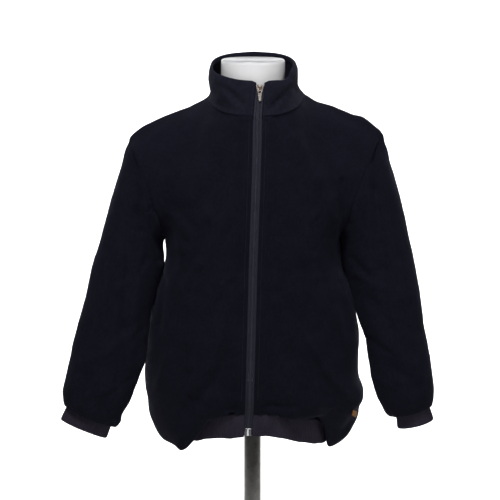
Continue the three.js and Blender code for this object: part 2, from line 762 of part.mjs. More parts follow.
function clothEntries() {
  const front = (side) => ({
    name: side < 0 ? 'front_left' : 'front_right',
    grid: frontGrid(side),
    closed: false,
    flip: side < 0,
    thickness: FLEECE,
    folds: (p) => fadeLow(bodyFolds('front', p), p.z, 655, 685),
  });
  const back = {
    name: 'back',
    grid: backGrid(),
    closed: false,
    flip: true,
    thickness: FLEECE,
    folds: (p) => fadeLow(bodyFolds('back', p), p.z, 650, 690),
  };
  const sleeve = (side) => ({
    name: side < 0 ? 'sleeve_left' : 'sleeve_right',
    grid: sleeveGrid(side),
    closed: true,
    flip: side > 0,
    thickness: FLEECE,
    folds: (p) => fadeLow(sleeveFolds(p), p.z, 664, 700),
  });
  return [front(-1), front(1), back, sleeve(-1), sleeve(1)];
}

function mesh(name, geometry, look) {
  const material = new THREE.MeshStandardMaterial(COLOURS[look]);
  const object = new THREE.Mesh(geometry, material);
  object.name = name;
  return object;
}

// The collar's wall is its outer face, a rounded rim and its inner face.
function collarMesh() {
  const rings = collarGrid();
  const grid = insetEdges(rings, false, sharedNormals([{ grid: rings, closed: false, flip: true }]));
  const normals = gridNormals(grid, false, true);
  const taper = [1, 1, 1, 1, 0.86, 0.5];
  const lift = [0, 0, 0, 0, 0.4, 0.9];
  const outer = grid.map((row, j) => row.map((point, i) => {
    const inward = COLLAR_THICKNESS * (1 - taper[j]) / 2;
    return point.clone().addScaledVector(normals[j][i], -inward).add(new THREE.Vector3(0, 0, lift[j]));
  }));
  const inner = grid.map((row, j) => row.map((point, i) => {
    const inward = COLLAR_THICKNESS * (1 + taper[j]) / 2;
    return point.clone().addScaledVector(normals[j][i], -inward).add(new THREE.Vector3(0, 0, lift[j]));
  }));
  return mesh('collar', wallGeometry(outer, inner, false, true), 'collar');
}

function cuffMesh(side) {
  const table = side < 0 ? CUFF_LEFT : CUFF_RIGHT;
  const around = CUFF_RIBS * 2;
  const ring = (level, out) => indices(around - 1).map((i) => {
    const angle = i / around * Math.PI * 2;
    const point = ovalPoint(side, (column) => table[level][column], angle);
    const lean = new THREE.Vector3(-Math.cos(angle) * side * 0.93, -Math.sin(angle), -Math.cos(angle) * 0.3);
    return point.addScaledVector(lean.normalize(), out(i));
  });
  const rib = (i) => (Math.floor(i / 2) % 2 === 0 ? 0 : -RIB_HEIGHT);
  const outer = [0, 1].map((level) => ring(level, rib));
  const inner = [0, 1].map((level) => ring(level, () => -RIB_WALL));
  return mesh(side < 0 ? 'cuff_left' : 'cuff_right', wallGeometry(outer, inner, true, side > 0), 'rib');
}

function bandMesh() {
  const { outer, inner } = bandGrids();
  return mesh('waistband', wallGeometry(outer, inner, false, true), 'rib');
}

// Frame of the zip at one height: its middle, the way out of the cloth and the way up.
function zipFrame(z) {
  const middle = zipAt(z);
  const up = zipAt(z + 2).sub(zipAt(z - 2)).normalize();
  const out = new THREE.Vector3(0, -up.z, up.y).normalize();
  return { middle, up, out };
}

// A strip along the zip through sections of height, two offsets across and their depths.
function zipStrip(sections, thickness) {
  const outer = [];
  const inner = [];
  for (const { z, fromX, toX, fromDepth, toDepth } of sections) {
    const { middle, out } = zipFrame(z);
    const place = (x, depth) => middle.clone().add(new THREE.Vector3(x, 0, 0)).addScaledVector(out, -depth);
    outer.push([place(fromX, fromDepth), place(toX, toDepth)]);
    inner.push([place(fromX, fromDepth + thickness), place(toX, toDepth + thickness)]);
  }
  return wallGeometry(outer, inner, false, false);
}

// The tape stands clear of the box, lies behind the fleece and ends at the collar's edge.
function tapeSections(side) {
  const low = ZIP_BOTTOM_Z + BOX_SIZE.height + 0.6;
  const neck = 1132;
  const between = (from, to, steps) => indices(steps).map((i) => lerp(from, to, i / steps));
  const heights = [ZIP_BOTTOM_Z, low, ...between(low + 0.6, neck, 22), ...between(neck + 0.6, ZIP_TOP_Z, 3)];
  return heights.map((z) => {
    const near = z <= low ? BOX_SIZE.width / 2 + 0.6 : CHAIN_WIDTH / 2 + 0.3;
    const far = z > neck ? ZIP_OPENING - 0.6 : TAPE_OUTER;
    const section = { z, fromX: side * near, toX: side * far, fromDepth: TAPE_FRONT, toDepth: TAPE_FRONT };
    section.toDepth += z > neck ? 0 : TAPE_SLOPE;
    return side > 0 ? section : mirroredSection(section);
  });
}

// The same section with its two sides changed over, for the left tape.
function mirroredSection({ z, fromX, toX, fromDepth, toDepth }) {
  return { z, fromX: toX, toX: fromX, fromDepth: toDepth, toDepth: fromDepth };
}

function chainSections() {
  const half = CHAIN_WIDTH / 2;
  const low = ZIP_BOTTOM_Z + BOX_SIZE.height + 0.4;
  const top = SLIDER.z - (SLIDER.length / 2 + 0.5) * 0.94;
  return indices(26).map((i) => ({
    z: lerp(low, top, i / 26),
    fromX: -half,
    toX: half,
    fromDepth: CHAIN_FRONT,
    toDepth: CHAIN_FRONT,
  }));
}

function zipMeshes() {
  return [
    mesh('zip_tape_left', zipStrip(tapeSections(-1), TAPE_THICKNESS), 'tape'),
    mesh('zip_tape_right', zipStrip(tapeSections(1), TAPE_THICKNESS), 'tape'),
    mesh('zip_chain', zipStrip(chainSections(), CHAIN_DEPTH), 'chain'),
    mesh('zip_box', zipBox(), 'steel'),
    ...sliderMeshes(),
  ];
}

function extruded(shape, depth, bevel) {
  return new THREE.ExtrudeGeometry(shape, {
    depth,
    bevelEnabled: bevel > 0,
    bevelThickness: bevel,
    bevelSize: bevel,
    bevelOffset: -bevel,
    bevelSegments: 1,
    curveSegments: 5,
  });
}

function roundedRectangle(width, height, radius) {
  const shape = new THREE.Shape();
  const x = width / 2;
  const y = height / 2;
  shape.moveTo(-x + radius, -y);
  shape.lineTo(x - radius, -y);
  shape.absarc(x - radius, -y + radius, radius, -Math.PI / 2, 0);
  shape.lineTo(x, y - radius);
  shape.absarc(x - radius, y - radius, radius, 0, Math.PI / 2);
  shape.lineTo(-x + radius, y);
  shape.absarc(-x + radius, y - radius, radius, Math.PI / 2, Math.PI);
  shape.lineTo(-x, -y + radius);
  shape.absarc(-x + radius, -y + radius, radius, Math.PI, Math.PI * 1.5);
  return shape;
}

// The bottom box sits under the chain's end.
function zipBox() {
  const shape = roundedRectangle(BOX_SIZE.width, BOX_SIZE.height, 1.2);
  const geometry = extruded(shape, BOX_SIZE.depth - 0.8, 0.4);
  geometry.translate(0, 0, 0.4 - BOX_SIZE.depth / 2);
  return placeOnZip(geometry, ZIP_BOTTOM_Z + BOX_SIZE.height / 2, -(CHAIN_FRONT + CHAIN_DEPTH / 2));
}

// Puts a shape drawn in the XY plane on the zip: its +Z points out of the cloth.
function placeOnZip(geometry, z, lift) {
  const { middle, up, out } = zipFrame(z);
  const rise = new THREE.Vector3(0, up.y, up.z).normalize();
  const matrix = new THREE.Matrix4().makeBasis(new THREE.Vector3(1, 0, 0), rise, out);
  matrix.setPosition(middle.clone().addScaledVector(out, lift));
  return geometry.applyMatrix4(matrix);
}

// Slider body, crown and pull, all drawn around the slider's middle.
function sliderMeshes() {
  const inside = CHAIN_DEPTH / 2 + SLIDER.gap;
  const lift = -(CHAIN_FRONT + CHAIN_DEPTH / 2);
  const body = sliderBody(inside);
  const face = inside + SLIDER.plate;
  const crown = sideShape(crownOutline(face + 0.3), CROWN.width);
  const pull = pullShape();
  pull.translate(0, 0, face + 0.3 + CROWN.opening / 2 - PULL.thickness / 2);
  return [
    mesh('zip_slider', placeOnZip(body, SLIDER.z, lift), 'slider'),
    mesh('zip_crown', placeOnZip(crown, SLIDER.z, lift), 'slider'),
    mesh('zip_pull', placeOnZip(pull, SLIDER.z, lift), 'slider'),
  ];
}

// Side view outline (up, out) made into a solid of a given width across the zip.
function sideShape(outline, width) {
  const shape = new THREE.Shape(outline.map(([up, out]) => new THREE.Vector2(up, out)));
  const geometry = extruded(shape, width, 0);
  const matrix = new THREE.Matrix4().makeBasis(
    new THREE.Vector3(0, 1, 0),
    new THREE.Vector3(0, 0, 1),
    new THREE.Vector3(1, 0, 0),
  );
  geometry.applyMatrix4(matrix);
  return geometry.translate(-width / 2, 0, 0);
}

// Two plates joined by a web; the tapes run between the plates.
function sliderBody(inside) {
  const half = SLIDER.width / 2;
  const web = SLIDER.web / 2;
  const face = inside + SLIDER.plate;
  const shape = new THREE.Shape([
    [-half, -face], [half, -face], [half, -inside], [web, -inside], [web, inside], [half, inside],
    [half, face - 0.4], [half - 0.6, face], [-half + 0.6, face], [-half, face - 0.4], [-half, inside],
    [-web, inside], [-web, -inside], [-half, -inside],
  ].map(([x, out]) => new THREE.Vector2(x, out)));
  const geometry = extruded(shape, SLIDER.length, 0);
  const matrix = new THREE.Matrix4().makeBasis(
    new THREE.Vector3(1, 0, 0),
    new THREE.Vector3(0, 0, 1),
    new THREE.Vector3(0, -1, 0),
  );
  geometry.applyMatrix4(matrix);
  return geometry.translate(0, SLIDER.length / 2, 0);
}

function crownOutline(foot) {
  const half = CROWN.length / 2;
  const inner = half - CROWN.leg;
  const roof = foot + CROWN.opening;
  return [
    [-half, foot], [-inner, foot], [-inner, roof - 0.1], [inner, roof - 0.1], [inner, foot],
    [half, foot], [half, roof + CROWN.roof - 0.5], [half - 0.5, roof + CROWN.roof],
    [-half + 0.5, roof + CROWN.roof], [-half, roof + CROWN.roof - 0.5],
  ];
}

function pullShape() {
  const half = PULL.width / 2;
  const top = PULL.bar / 2;
  const bottom = -PULL.length;
  const shape = new THREE.Shape();
  shape.moveTo(-half + 0.6, top);
  shape.lineTo(-half, top - 0.6);
  shape.lineTo(-half * 0.86, bottom + 2);
  shape.lineTo(-half * 0.5, bottom);
  shape.lineTo(half * 0.5, bottom);
  shape.lineTo(half * 0.86, bottom + 2);
  shape.lineTo(half, top - 0.6);
  shape.lineTo(half - 0.6, top);
  shape.closePath();
  const hole = new THREE.Path();
  const side = PULL.holeWidth / 2;
  hole.moveTo(-side, -top);
  hole.lineTo(-side, -PULL.hole);
  hole.lineTo(side, -PULL.hole);
  hole.lineTo(side, -top);
  hole.closePath();
  shape.holes.push(hole);
  return extruded(shape, PULL.thickness, 0);
}

// The tab lies on the right front panel by the side seam.
function sideTab() {
  const at = (u, row) => frontSection(1, u, row);
  const across = [0.69, 0.722, 0.755];
  const down = [4.96, 4.83, 4.7];
  const grid = down.map((row) => across.map((u) => at(u, row)));
  const normals = gridNormals(grid, false, true);
  const layer = (lift) => grid.map((row, j) => row.map((point, i) => {
    return point.clone().addScaledVector(normals[j][i], lift);
  }));
  return mesh('side_tab', wallGeometry(layer(1.6), layer(0.4), false, true), 'tab');
}

// A closed solid through flat rings, with a flat top and bottom.
function loft(sections, around, power) {
  const rings = sections.map((section) => indices(around - 1).map((i) => {
    const angle = i / around * Math.PI * 2;
    const sine = Math.sin(angle);
    const cosine = Math.cos(angle);
    const x = Math.sign(sine) * Math.abs(sine) ** (2 / power);
    const y = -Math.sign(cosine) * Math.abs(cosine) ** (2 / power);
    const middleY = (section.frontY + section.backY) / 2;
    const depth = (section.backY - section.frontY) / 2;
    return new THREE.Vector3(section.middle + section.half * x, middleY + depth * y, section.z);
  }));
  const positions = rings.flat().flatMap((p) => [p.x, p.y, p.z]);
  const faces = [];
  const at = (j, i) => j * around + (i % around);
  for (let j = 0; j < rings.length - 1; j += 1) {
    for (let i = 0; i < around; i += 1) {
      faces.push(at(j, i), at(j, i + 1), at(j + 1, i + 1), at(j, i), at(j + 1, i + 1), at(j + 1, i));
    }
  }
  const top = rings.length - 1;
  const centre = (section) => [section.middle, (section.frontY + section.backY) / 2, section.z];
  positions.push(...centre(sections[0]), ...centre(sections[top]));
  const low = rings.length * around;
  for (let i = 0; i < around; i += 1) {
    faces.push(low, at(0, i + 1), at(0, i), low + 1, at(top, i), at(top, i + 1));
  }
  return solid(positions, faces);
}

function turned(profile, segments) {
  const points = profile.map(([radius, z]) => new THREE.Vector2(radius, z));
  const geometry = new THREE.LatheGeometry(points, segments);
  return geometry.rotateX(Math.PI / 2);
}

function standMeshes() {
  const socket = [[0, 0], [24, 0], [24, 16], [20, 20], [17, 22], [0, 22]];
  const base = [
    [0, 0], [BASE_RADIUS - 2, 0], [BASE_RADIUS, 2], [BASE_RADIUS, 6], [BASE_RADIUS - 3, 9],
    [60, BASE_HEIGHT - 1], [26, BASE_HEIGHT], [0, BASE_HEIGHT],
  ];
  const socketHeight = 22;
  const collarZ = BASE_HEIGHT + SEAT;
  const poleLow = collarZ + socketHeight + SEAT;
  const poleHigh = FORM_BOTTOM_Z - SEAT;
  const pole = [[0, poleLow], [POLE_RADIUS, poleLow], [POLE_RADIUS, poleHigh], [0, poleHigh]];
  return [
    mesh('form_torso', loft(FORM_SECTIONS, 36, 2.2), 'form'),
    mesh('form_neck', loft(NECK_SECTIONS, 36, 2.0), 'form'),
    mesh('stand_pole', turned(pole, 28), 'chrome'),
    mesh('stand_socket', turned(socket, 28).translate(0, 0, collarZ), 'chrome'),
    mesh('stand_base', turned(base, 48), 'chrome'),
  ];
}

function buildJacket() {
  const group = new THREE.Group();
  group.name = 'fleece_zip_jacket';
  for (const piece of clothSolids(clothEntries())) {
    group.add(mesh(piece.name, wallGeometry(piece.outer, piece.inner, piece.closed, piece.flip), 'fleece'));
  }
  group.add(collarMesh(), bandMesh(), cuffMesh(-1), cuffMesh(1), sideTab());
  group.add(...zipMeshes(), ...standMeshes());
  return group;
}

export default buildJacket();
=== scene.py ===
"""Fleece zip jacket with rib cuffs and waistband, standing on a limbless dress form."""
import json
import math

import bpy
import numpy as np
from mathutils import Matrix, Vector

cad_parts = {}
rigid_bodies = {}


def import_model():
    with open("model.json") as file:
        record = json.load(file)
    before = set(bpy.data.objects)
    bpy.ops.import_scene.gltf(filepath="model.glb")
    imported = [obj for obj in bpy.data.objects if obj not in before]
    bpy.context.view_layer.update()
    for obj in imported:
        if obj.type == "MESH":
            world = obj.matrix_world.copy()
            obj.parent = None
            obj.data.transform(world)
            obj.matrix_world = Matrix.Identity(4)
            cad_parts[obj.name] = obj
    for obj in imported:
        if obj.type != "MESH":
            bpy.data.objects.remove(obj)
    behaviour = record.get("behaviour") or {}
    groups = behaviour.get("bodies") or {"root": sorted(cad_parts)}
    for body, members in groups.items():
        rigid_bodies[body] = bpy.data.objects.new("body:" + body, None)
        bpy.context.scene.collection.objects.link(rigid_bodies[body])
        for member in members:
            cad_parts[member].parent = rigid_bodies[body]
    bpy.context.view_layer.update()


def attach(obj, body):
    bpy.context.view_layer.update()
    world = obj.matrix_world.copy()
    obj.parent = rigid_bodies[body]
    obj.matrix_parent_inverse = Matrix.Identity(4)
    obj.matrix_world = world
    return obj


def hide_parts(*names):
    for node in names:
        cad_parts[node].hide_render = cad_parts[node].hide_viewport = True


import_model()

# Sizes in millimetres
FLEECE = 2.0
COLLAR_THICKNESS = 4.6
RIB_WALL = 2.0
BODY_CREASES = 1.75
SLEEVE_CREASES = 1.35
RIB_DEPTH = 0.75
CHAIN_WIDTH = 6.0
CHAIN_DEPTH = 2.6
TAPE_THICKNESS = 0.8
TAPE_OUTER = 13.0
TAPE_SLOPE = 1.2
ZIP_OPENING = 7.0
ZIP_BOTTOM_Z = 629.5
ZIP_TOP_Z = 1182.0
STITCH_INSET = 6.4
TAPE_FRONT = FLEECE + 0.35
CHAIN_MIDDLE = TAPE_FRONT + TAPE_THICKNESS / 2
BOX_WIDTH = 9.4
BOX_HEIGHT = 12.0
SLIDER_Z = 1174.0
SLIDER_LENGTH = 13.0
TOOTH_PITCH = 3.0
TOOTH_OFFSET = 1.05
STITCH_PITCH = 3.6
PULL_MIDDLE = 4.1
NECK_SHARE = 5 / 12
EDGE_SHARE = 0.3
BODY_MIDDLE_Y = -5
BODY_POWER = 2.3
COLLAR_POWER = 2.1
ARM_STEPS = 80
BAND_RIBS = 190
CUFF_RIBS = 56
RIB_STEPS = 6
FORM_BOTTOM_Z = 712.0
STAND_GAP = 0.35
POLE_RADIUS = 14.0
SOCKET_HEIGHT = 22.0
BASE_RADIUS = 150.0
BASE_HEIGHT = 14.0


def table(columns, rows):
    """Named columns of numbers; rows stand on lines of their own or between slashes."""
    data = np.array([row.split() for row in rows.strip().replace("/", "\n").split("\n")], float)
    return {name: data[:, i] for i, name in enumerate(columns.split())}


# Body sections from the seam on the rib (0) round the blousing roll (to 5) and up to the armpits (10)
ROLL_ROW = 5
ARMPIT_ROW = 10
BODY = table("zip front side back left right frontY backY", """
    664.6 667 641 655 113.2 124.2 -100.2 93.2
    666.5 660 612 643 116 127 -102 95.5
    668.5 656 596 637 126 133 -106 100
    671.5 659 600 640 142 146 -110.5 105
    678 670 620 653 157 164 -113.5 109
    692 690 656 684 169 177 -115 112
    730 730 715 727 171 172 -115.5 113
    790 790 790 790 166 170 -114.5 112
    850 850 850 850 153 157.5 -113.5 110
    893 893 893 893 139 141.5 -112.5 106
    930 930 932 932 139.5 140.5 -111.5 102""")
# Half of the armhole from the armpit (0) to the shoulder point (5)
ARMHOLE = table("left right frontY backY leftZ rightZ", """
    139.5 140.5 -5 -5 932 932
    143 145 -36 30 948 949
    154 156 -53 50 986 988
    171 175 -48 48 1030 1034
    188 193 -29 28 1070 1075
    199.4 204.5 0 0 1093 1098""")
# Shoulder seam from the neck (0) to the shoulder point (4)
SHOULDER = table("left leftZ right rightZ y", """
    70 1157 82 1161 4
    99 1143 104 1149.5 3
    140 1127 140 1137.5 2
    173 1111 177 1121.5 1
    199.4 1093 204.5 1098 0""")
# Sleeve sections from the armhole (0) to the seam on the cuff (17)
SLEEVE_COLUMNS = "innerX innerZ outerX outerZ y depth"
SLEEVES = {-1: table(SLEEVE_COLUMNS, """
    139.5 932 199.4 1093 0 52
    142.3 928 203 1072 -1 52
    143.4 921 208 1048 -2 51
    143 911 218 1018 -4 49
    142 896 231 975 -9 46
    148 866 243.5 930 -16 44
    156 838 255 892 -23 42
    163 805 266 842 -32 40
    166 772 276.5 805 -38 38
    169.5 742 287 765 -43 36
    177 722 294 735 -47 34
    186 700 301 708 -50 33
    196 674 305 692 -51.5 32
    208 653 304.8 684 -53 30
    210.5 641 304 675 -54 26
    218.5 632.5 301 667.3 -55 20.5
    222.2 637.5 297.4 670 -55 17.2
    220.2 650 292.4 679 -55 15.6"""), 1: table(SLEEVE_COLUMNS, """
    140.5 932 204.5 1098 0 52
    143.5 928 214 1078 -1 52
    145 921 220 1054 -2 51
    145.6 911 229 1023 -4 50
    146.6 897 240.5 978 -9 47
    153 868 251 930 -16 45
    160 840 259 890 -23 43
    167 808 267 842 -32 42
    180 776 272.5 805 -38 41
    185 745 280 765 -43 40
    189 718 286 730 -46 39
    193.5 698 290.2 703 -48 38
    198 684 291 693 -49 37
    205 669 290.8 683 -50 34
    211.5 656 289.5 673 -50 30
    220 649 287 667.5 -50 26.5
    224.2 654.5 284.2 670.5 -50 23.6
    225 666 281.2 680.2 -50 22.2""")}
# The two edges of each cuff at its top and bottom, and the waistband's loop
CUFFS = {-1: table(SLEEVE_COLUMNS, """
    221.5 650.5 290.8 679.7 -55 14
    233.5 614.1 308.3 645.5 -55 14.5"""), 1: table(SLEEVE_COLUMNS, """
    226.5 667 279.5 681 -50 20.5
    233.7 629.4 291.3 644.6 -50 21.5""")}
BAND = {"left": 112, "right": 123, "backY": 92, "power": 2.15}
BAND_TOP = {"zip": 664, "front": 668, "side": 642, "back": 656}
BAND_BOTTOM = {"zip": 629, "front": 628, "side": 603, "back": 616}
# Zip centre line from the hem to the top of the collar
ZIP_LINE = table("z x y", """
    627 -7.3 -98
    664 -5.6 -99.5
    692 -4.6 -107
    730 -3.6 -111
    790 -2 -112.5
    850 -0.5 -112.5
    930 1.6 -111.5
    1000 4 -108.5
    1060 6 -102
    1100 7 -95.5
    1136 7.8 -88
    1160 9.6 -79.5
    1184 12.2 -71""")
# Collar heights by angle from the front edge (0) to the back middle (4), and at the zip
COLLAR_BASE_Z = 1136
COLLAR_TOP_Z = 1183
COLLAR_RING = table("baseLeft baseRight topLeft topRight", """
    1136 1136 1183 1183
    1141.5 1143 1189 1188
    1157 1161 1208 1210
    1163 1165 1219 1220
    1165 1165 1223 1223""")
COLLAR_BASE = {"left": 70, "right": 82, "middle": 6, "frontY": -88, "sideY": 4, "backY": 68}
COLLAR_TOP = {"left": 64.5, "right": 65.5, "middle": 1.5, "frontY": -70, "sideY": 2, "backY": 60}
# How far the collar's sides stand out from a straight wall, from the seam (0) to the rim (1)
COLLAR_SIDES = table("level left right", """
    0 0 0
    0.12 -3 -4.5
    0.3 0.5 -6
    0.55 3.6 -1
    0.8 4.2 3.2
    1 2.6 2.6""")
HEM_DROP = {-1: (0.28, 0.54), 1: (0.5, 0.86)}
# Where sleeve and side touch: height of the swelling, its ends, and a rise with its middle and reach
TOUCH = {-1: (1.0, 768, 940, 1.3, 884, 13), 1: (1.4, 806, 945, 3.2, 903, 24)}
TOUCH_REACH = 28

# Folds as soft ridges and troughs along a line from (x1, z1) to (x2, z2)
FOLD_COLUMNS = "x1 z1 x2 z2 width height"
FRONT_FOLDS = table(FOLD_COLUMNS, """
    69 1099 104 1037 11 3.2 / 104 1037 131 974 11 3 / 88 1070 122 985 12 -2.2 / 73 938 97 883 9 2.6
    97 883 108 835 9 2.2 / 90 785 117 736 10 2.6 / 117 736 146 688 10 3 / 62 770 96 700 13 -2.4
    -27 1001 -82 907 11 2.2 / -48 791 -67 742 10 2.4 / -67 742 -106 686 11 3 / -95 807 -98 750 10 2.2
    -66 1114 -94 1005 12 2.6 / -40 760 -84 690 11 -2.6 / -99 690 -112 637 9 -4.5 / -30 700 -34 664 9 -2.4
    28 705 34 664 10 -2.6 / 80 700 84 660 10 -3 / 118 690 112 640 9 -2.6 / -70 690 -66 650 9 2.2""")
BACK_FOLDS = table(FOLD_COLUMNS, """
    -118 985 -70 900 13 3 / 112 975 74 905 13 2.6 / -100 830 -38 770 13 2.6 / 96 815 52 735 12 -2.8
    -12 790 -22 690 13 -2.4 / -92 735 -84 655 11 3 / 34 730 40 650 11 2.8 / 104 725 100 650 10 -3
    -44 712 -48 650 10 -2.6 / 0 1120 6 1010 16 -1.8""")
SLEEVE_FOLDS_FRONT = table(FOLD_COLUMNS, """
    -150 985 -134 1022 8 -3.2 / -134 1020 -116 1000 7 -2.6 / -130 1016 -151 950 8 3
    -182 1085 -186 978 10 -2.6 / -186 978 -202 798 10 -3.4 / -202 798 -212 700 10 -3
    -232 900 -246 800 14 2 / -170 820 -186 720 10 -2.6 / -262 720 -276 676 8 -2.6 / -236 712 -244 664 8 2.4
    193 1087 196 1012 10 -2.6 / 196 1012 204 890 10 -3 / 222 960 236 850 14 2 / 186 842 226 792 10 -2.6
    200 790 250 742 11 2.6 / 214 740 262 706 9 -2.4 / 238 712 244 672 8 2.4""")
SLEEVE_FOLDS_BACK = table(FOLD_COLUMNS, """
    -176 1050 -214 960 12 -2.8 / -172 930 -232 880 12 2.8 / -184 850 -240 820 11 -2.8
    -200 790 -272 760 12 2.6 / -216 730 -284 716 10 -2.4 / -246 706 -252 662 8 2.2
    180 1060 224 975 12 -2.6 / 168 930 232 868 12 2.8 / 180 850 250 815 11 -2.8 / 202 782 262 762 12 2.6
    212 728 276 714 10 -2.2 / 250 706 254 668 8 2.2""")
# Finer creases of the cloth, which the solids leave out
FRONT_CREASES = table(FOLD_COLUMNS, """
    60 1100 98 1036 10 1.6 / 98 1036 130 968 10 1.7 / 112 1086 128 1016 10 -1.5 / 44 1070 84 1000 13 -1.2
    84 1000 108 930 12 -1 / -30 1100 -36 900 14 -1.2 / -72 1090 -98 1000 14 1.3 / -96 1000 -112 930 12 1.1
    -70 960 -90 860 14 -1.2 / -99 770 -101 694 9 -1.5 / -62 800 -72 700 14 1.2 / 50 780 58 690 13 -1
    86 900 104 800 14 -1.1 / 72 812 96 770 4.5 1.5 / 96 770 122 722 4.5 1.8 / 122 722 148 690 4.5 1.6
    -47 806 -58 764 4.5 1.5 / -58 764 -66 726 4.5 1.3 / -98 850 -98 740 6 1.4 / 141 1030 141 930 7 -2.2
    141 930 146 880 7 -1.6 / -128 950 -124 896 9 -1.7 / -134 968 -104 936 8 -1.4 / -122 990 -88 962 9 -1.1
    134 1000 122 944 9 -1.2 / 128 960 98 926 8 -1.2 / 120 1010 92 975 6 1.1 / -43 672 -12 672 5 -1.6
    16 680 66 680 6 -1.8 / 98 669 146 666 6 -1.8 / -82 907 -112 866 7 1.2 / -30 880 -66 826 8 -1
    44 862 74 812 8 -1.1 / 54 1060 78 1008 7 1 / -52 1058 -66 1000 8 -1 / 36 1110 60 1076 6 1
    -36 1106 -58 1082 6 1 / -140 872 -150 800 7 -1.6 / 142 868 152 792 7 -1.5 / -132 760 -148 706 7 1.5
    128 830 140 780 7 1.2 / -116 668 -140 640 6 1.6 / 60 700 64 668 5 1.4 / 100 712 108 672 6 1.4
    10 700 12 674 5 1 / -52 700 -50 668 5 1.2 / -84 706 -88 660 5 -1.4 / 140 700 150 660 6 -1.6""")
BACK_CREASES = table(FOLD_COLUMNS, """
    -128 960 -96 920 5 -1.8 / 126 958 98 915 5 -1.7 / -134 990 -104 950 6 1.3 / -60 700 -60 655 5 1.4
    -28 700 -26 655 5 -1.3 / 6 704 4 656 6 1.2 / 62 706 64 654 5 -1.5 / 84 700 86 652 5 1.3
    -112 700 -114 645 6 -1.5 / -40 1100 -64 1030 8 1 / 48 1100 70 1040 8 1.1 / 20 880 70 850 9 -1.2
    -20 940 -72 912 9 1.2 / 140 800 152 730 7 1.3 / -140 820 -150 740 7 -1.4""")
SLEEVE_CREASES_FRONT = table(FOLD_COLUMNS, """
    -186 1070 -188 970 11 -1.8 / -188 970 -197 880 12 -2.3 / -197 880 -206 790 10 -2.5
    -206 790 -212 712 9 -2 / -172 1060 -176 960 9 1.4 / -178 940 -188 820 9 1.6 / 194 1080 197 1000 10 -1.8
    197 1000 206 890 11 -2.2 / 206 890 218 800 10 -1.6 / 182 1040 186 930 8 1.5 / -161 984 -146 1016 5 -2.4
    -146 1016 -130 1022 5 -2.4 / -130 1022 -114 1001 5 -2 / -152 950 -146 900 6 -2.2
    151 1020 150 960 6 -2.2 / -146 1040 -128 1008 5 -1.4 / -160 1000 -154 952 6 -1.6
    -206 1040 -214 980 8 1.2 / -168 905 -190 870 6 -1.6 / -180 880 -214 858 7 1.3 / -176 790 -206 762 6 -1.5
    -214 770 -250 748 7 1.4 / -190 716 -226 690 6 -1.6 / -230 700 -262 690 6 1.3 / -278 740 -288 700 7 1.3
    -252 690 -256 664 5 -1.5 / -222 690 -228 656 5 -1.4 / -282 700 -290 676 5 -1.2 / 158 905 190 872 6 -1.6
    166 880 206 862 7 1.3 / 214 1046 222 984 8 1.2 / 186 776 214 760 6 -1.5 / 232 806 262 790 7 -1.3
    196 716 220 704 6 1.4 / 252 704 256 672 5 -1.5 / 222 706 226 672 5 -1.5 / 270 720 274 680 5 1.3""")
SLEEVE_CREASES_BACK = table(FOLD_COLUMNS, """
    -160 900 -200 866 6 -1.5 / -186 780 -220 756 6 -1.4 / -230 706 -236 664 5 -1.4 / -266 712 -270 672 5 1.3
    -196 1010 -216 940 8 1.2 / 160 900 196 872 6 -1.5 / 196 776 222 760 6 -1.4 / 228 706 232 672 5 -1.4
    264 712 268 676 5 1.3 / 200 1010 226 940 8 1.2""")
COLLAR_CREASES = table(FOLD_COLUMNS, """
    -50 1180 -32 1169 5 -2 / -32 1169 -19 1156 5 -2.2 / -40 1164 -24 1150 5 1.4 / 60 1176 43 1160 5 -1.8
    43 1160 28 1148 5 -1.8 / 54 1158 38 1146 5 1.2 / -66 1190 -58 1168 6 -1.4 / 66 1188 70 1172 6 -1.2""")

# Small fittings of the shape at the shoulders and along the hem
BODY_SHAPE = table(FOLD_COLUMNS, """
    -206 1100 -200 1088 12 -3.6 / -201 1090 -199 1086 5.5 -1.4 / 174 1123 203 1100 12 3.4
    -172 740 -172 690 14 2.6 / 170 652 156 628 11 -5.5 / 172 686 171 674 11 4.5""")
# Shifts of the lobes of the hem beside the front: middle, reach, sideways and up
HEM_SHAPE = table("x reach across up", """
    -100 18 -10 4.5
    -128 15 0 7.5
    134 16 -7 -1.5""")

# Form sections from the bottom up
FORM_COLUMNS = "z half middle frontY backY"
FORM_SECTIONS = table(FORM_COLUMNS, """
    712 118 1 -70 70
    718 127 1 -78 77
    740 133 1 -84 83
    790 130 1 -84 80
    850 121 1 -84 76
    900 119 1 -90 76
    950 121 1 -95 78
    1000 128 1 -92 78
    1040 138 1 -84 74
    1062 147 1 -74 68
    1080 151 2 -60 54
    1096 150 2 -48 44
    1110 140 3 -38 35
    1122 123.5 4.5 -31 31
    1134 102.3 6.2 -29.4 29.5
    1144 79.2 6.2 -34.6 33.5""")
NECK_SECTIONS = table(FORM_COLUMNS, """
    1144.3 62 3 -46 39
    1160 53.5 1 -58 38
    1180 50.5 0.7 -61 38
    1205 50.3 0.7 -61.5 38
    1213.5 50.2 0.7 -61.5 38
    1216.6 49.2 0.7 -60.4 37
    1218 47 0.7 -58 35""")


# Small maths
def smooth(value):
    t = np.clip(value, 0, 1)
    return t * t * (3 - 2 * t)


def lerp(a, b, t):
    return a + (b - a) * t


def read(values, position):
    """Smooth reading of a column at fractional rows."""
    last = len(values) - 1
    p = np.clip(np.asarray(position, float), 0, last)
    index = np.minimum(last - 1, np.floor(p).astype(int))
    t = p - index
    ends = [2 * values[0] - values[1]], [2 * values[-1] - values[-2]]
    padded = np.concatenate([ends[0], values, ends[1]])
    before, low, high, after = (padded[index + k] for k in range(4))
    start = (high - before) / 2
    end = (after - low) / 2
    t2 = t * t
    t3 = t2 * t
    return ((2 * t3 - 3 * t2 + 1) * low + (t3 - 2 * t2 + t) * start
            + (3 * t2 - 2 * t3) * high + (t3 - t2) * end)


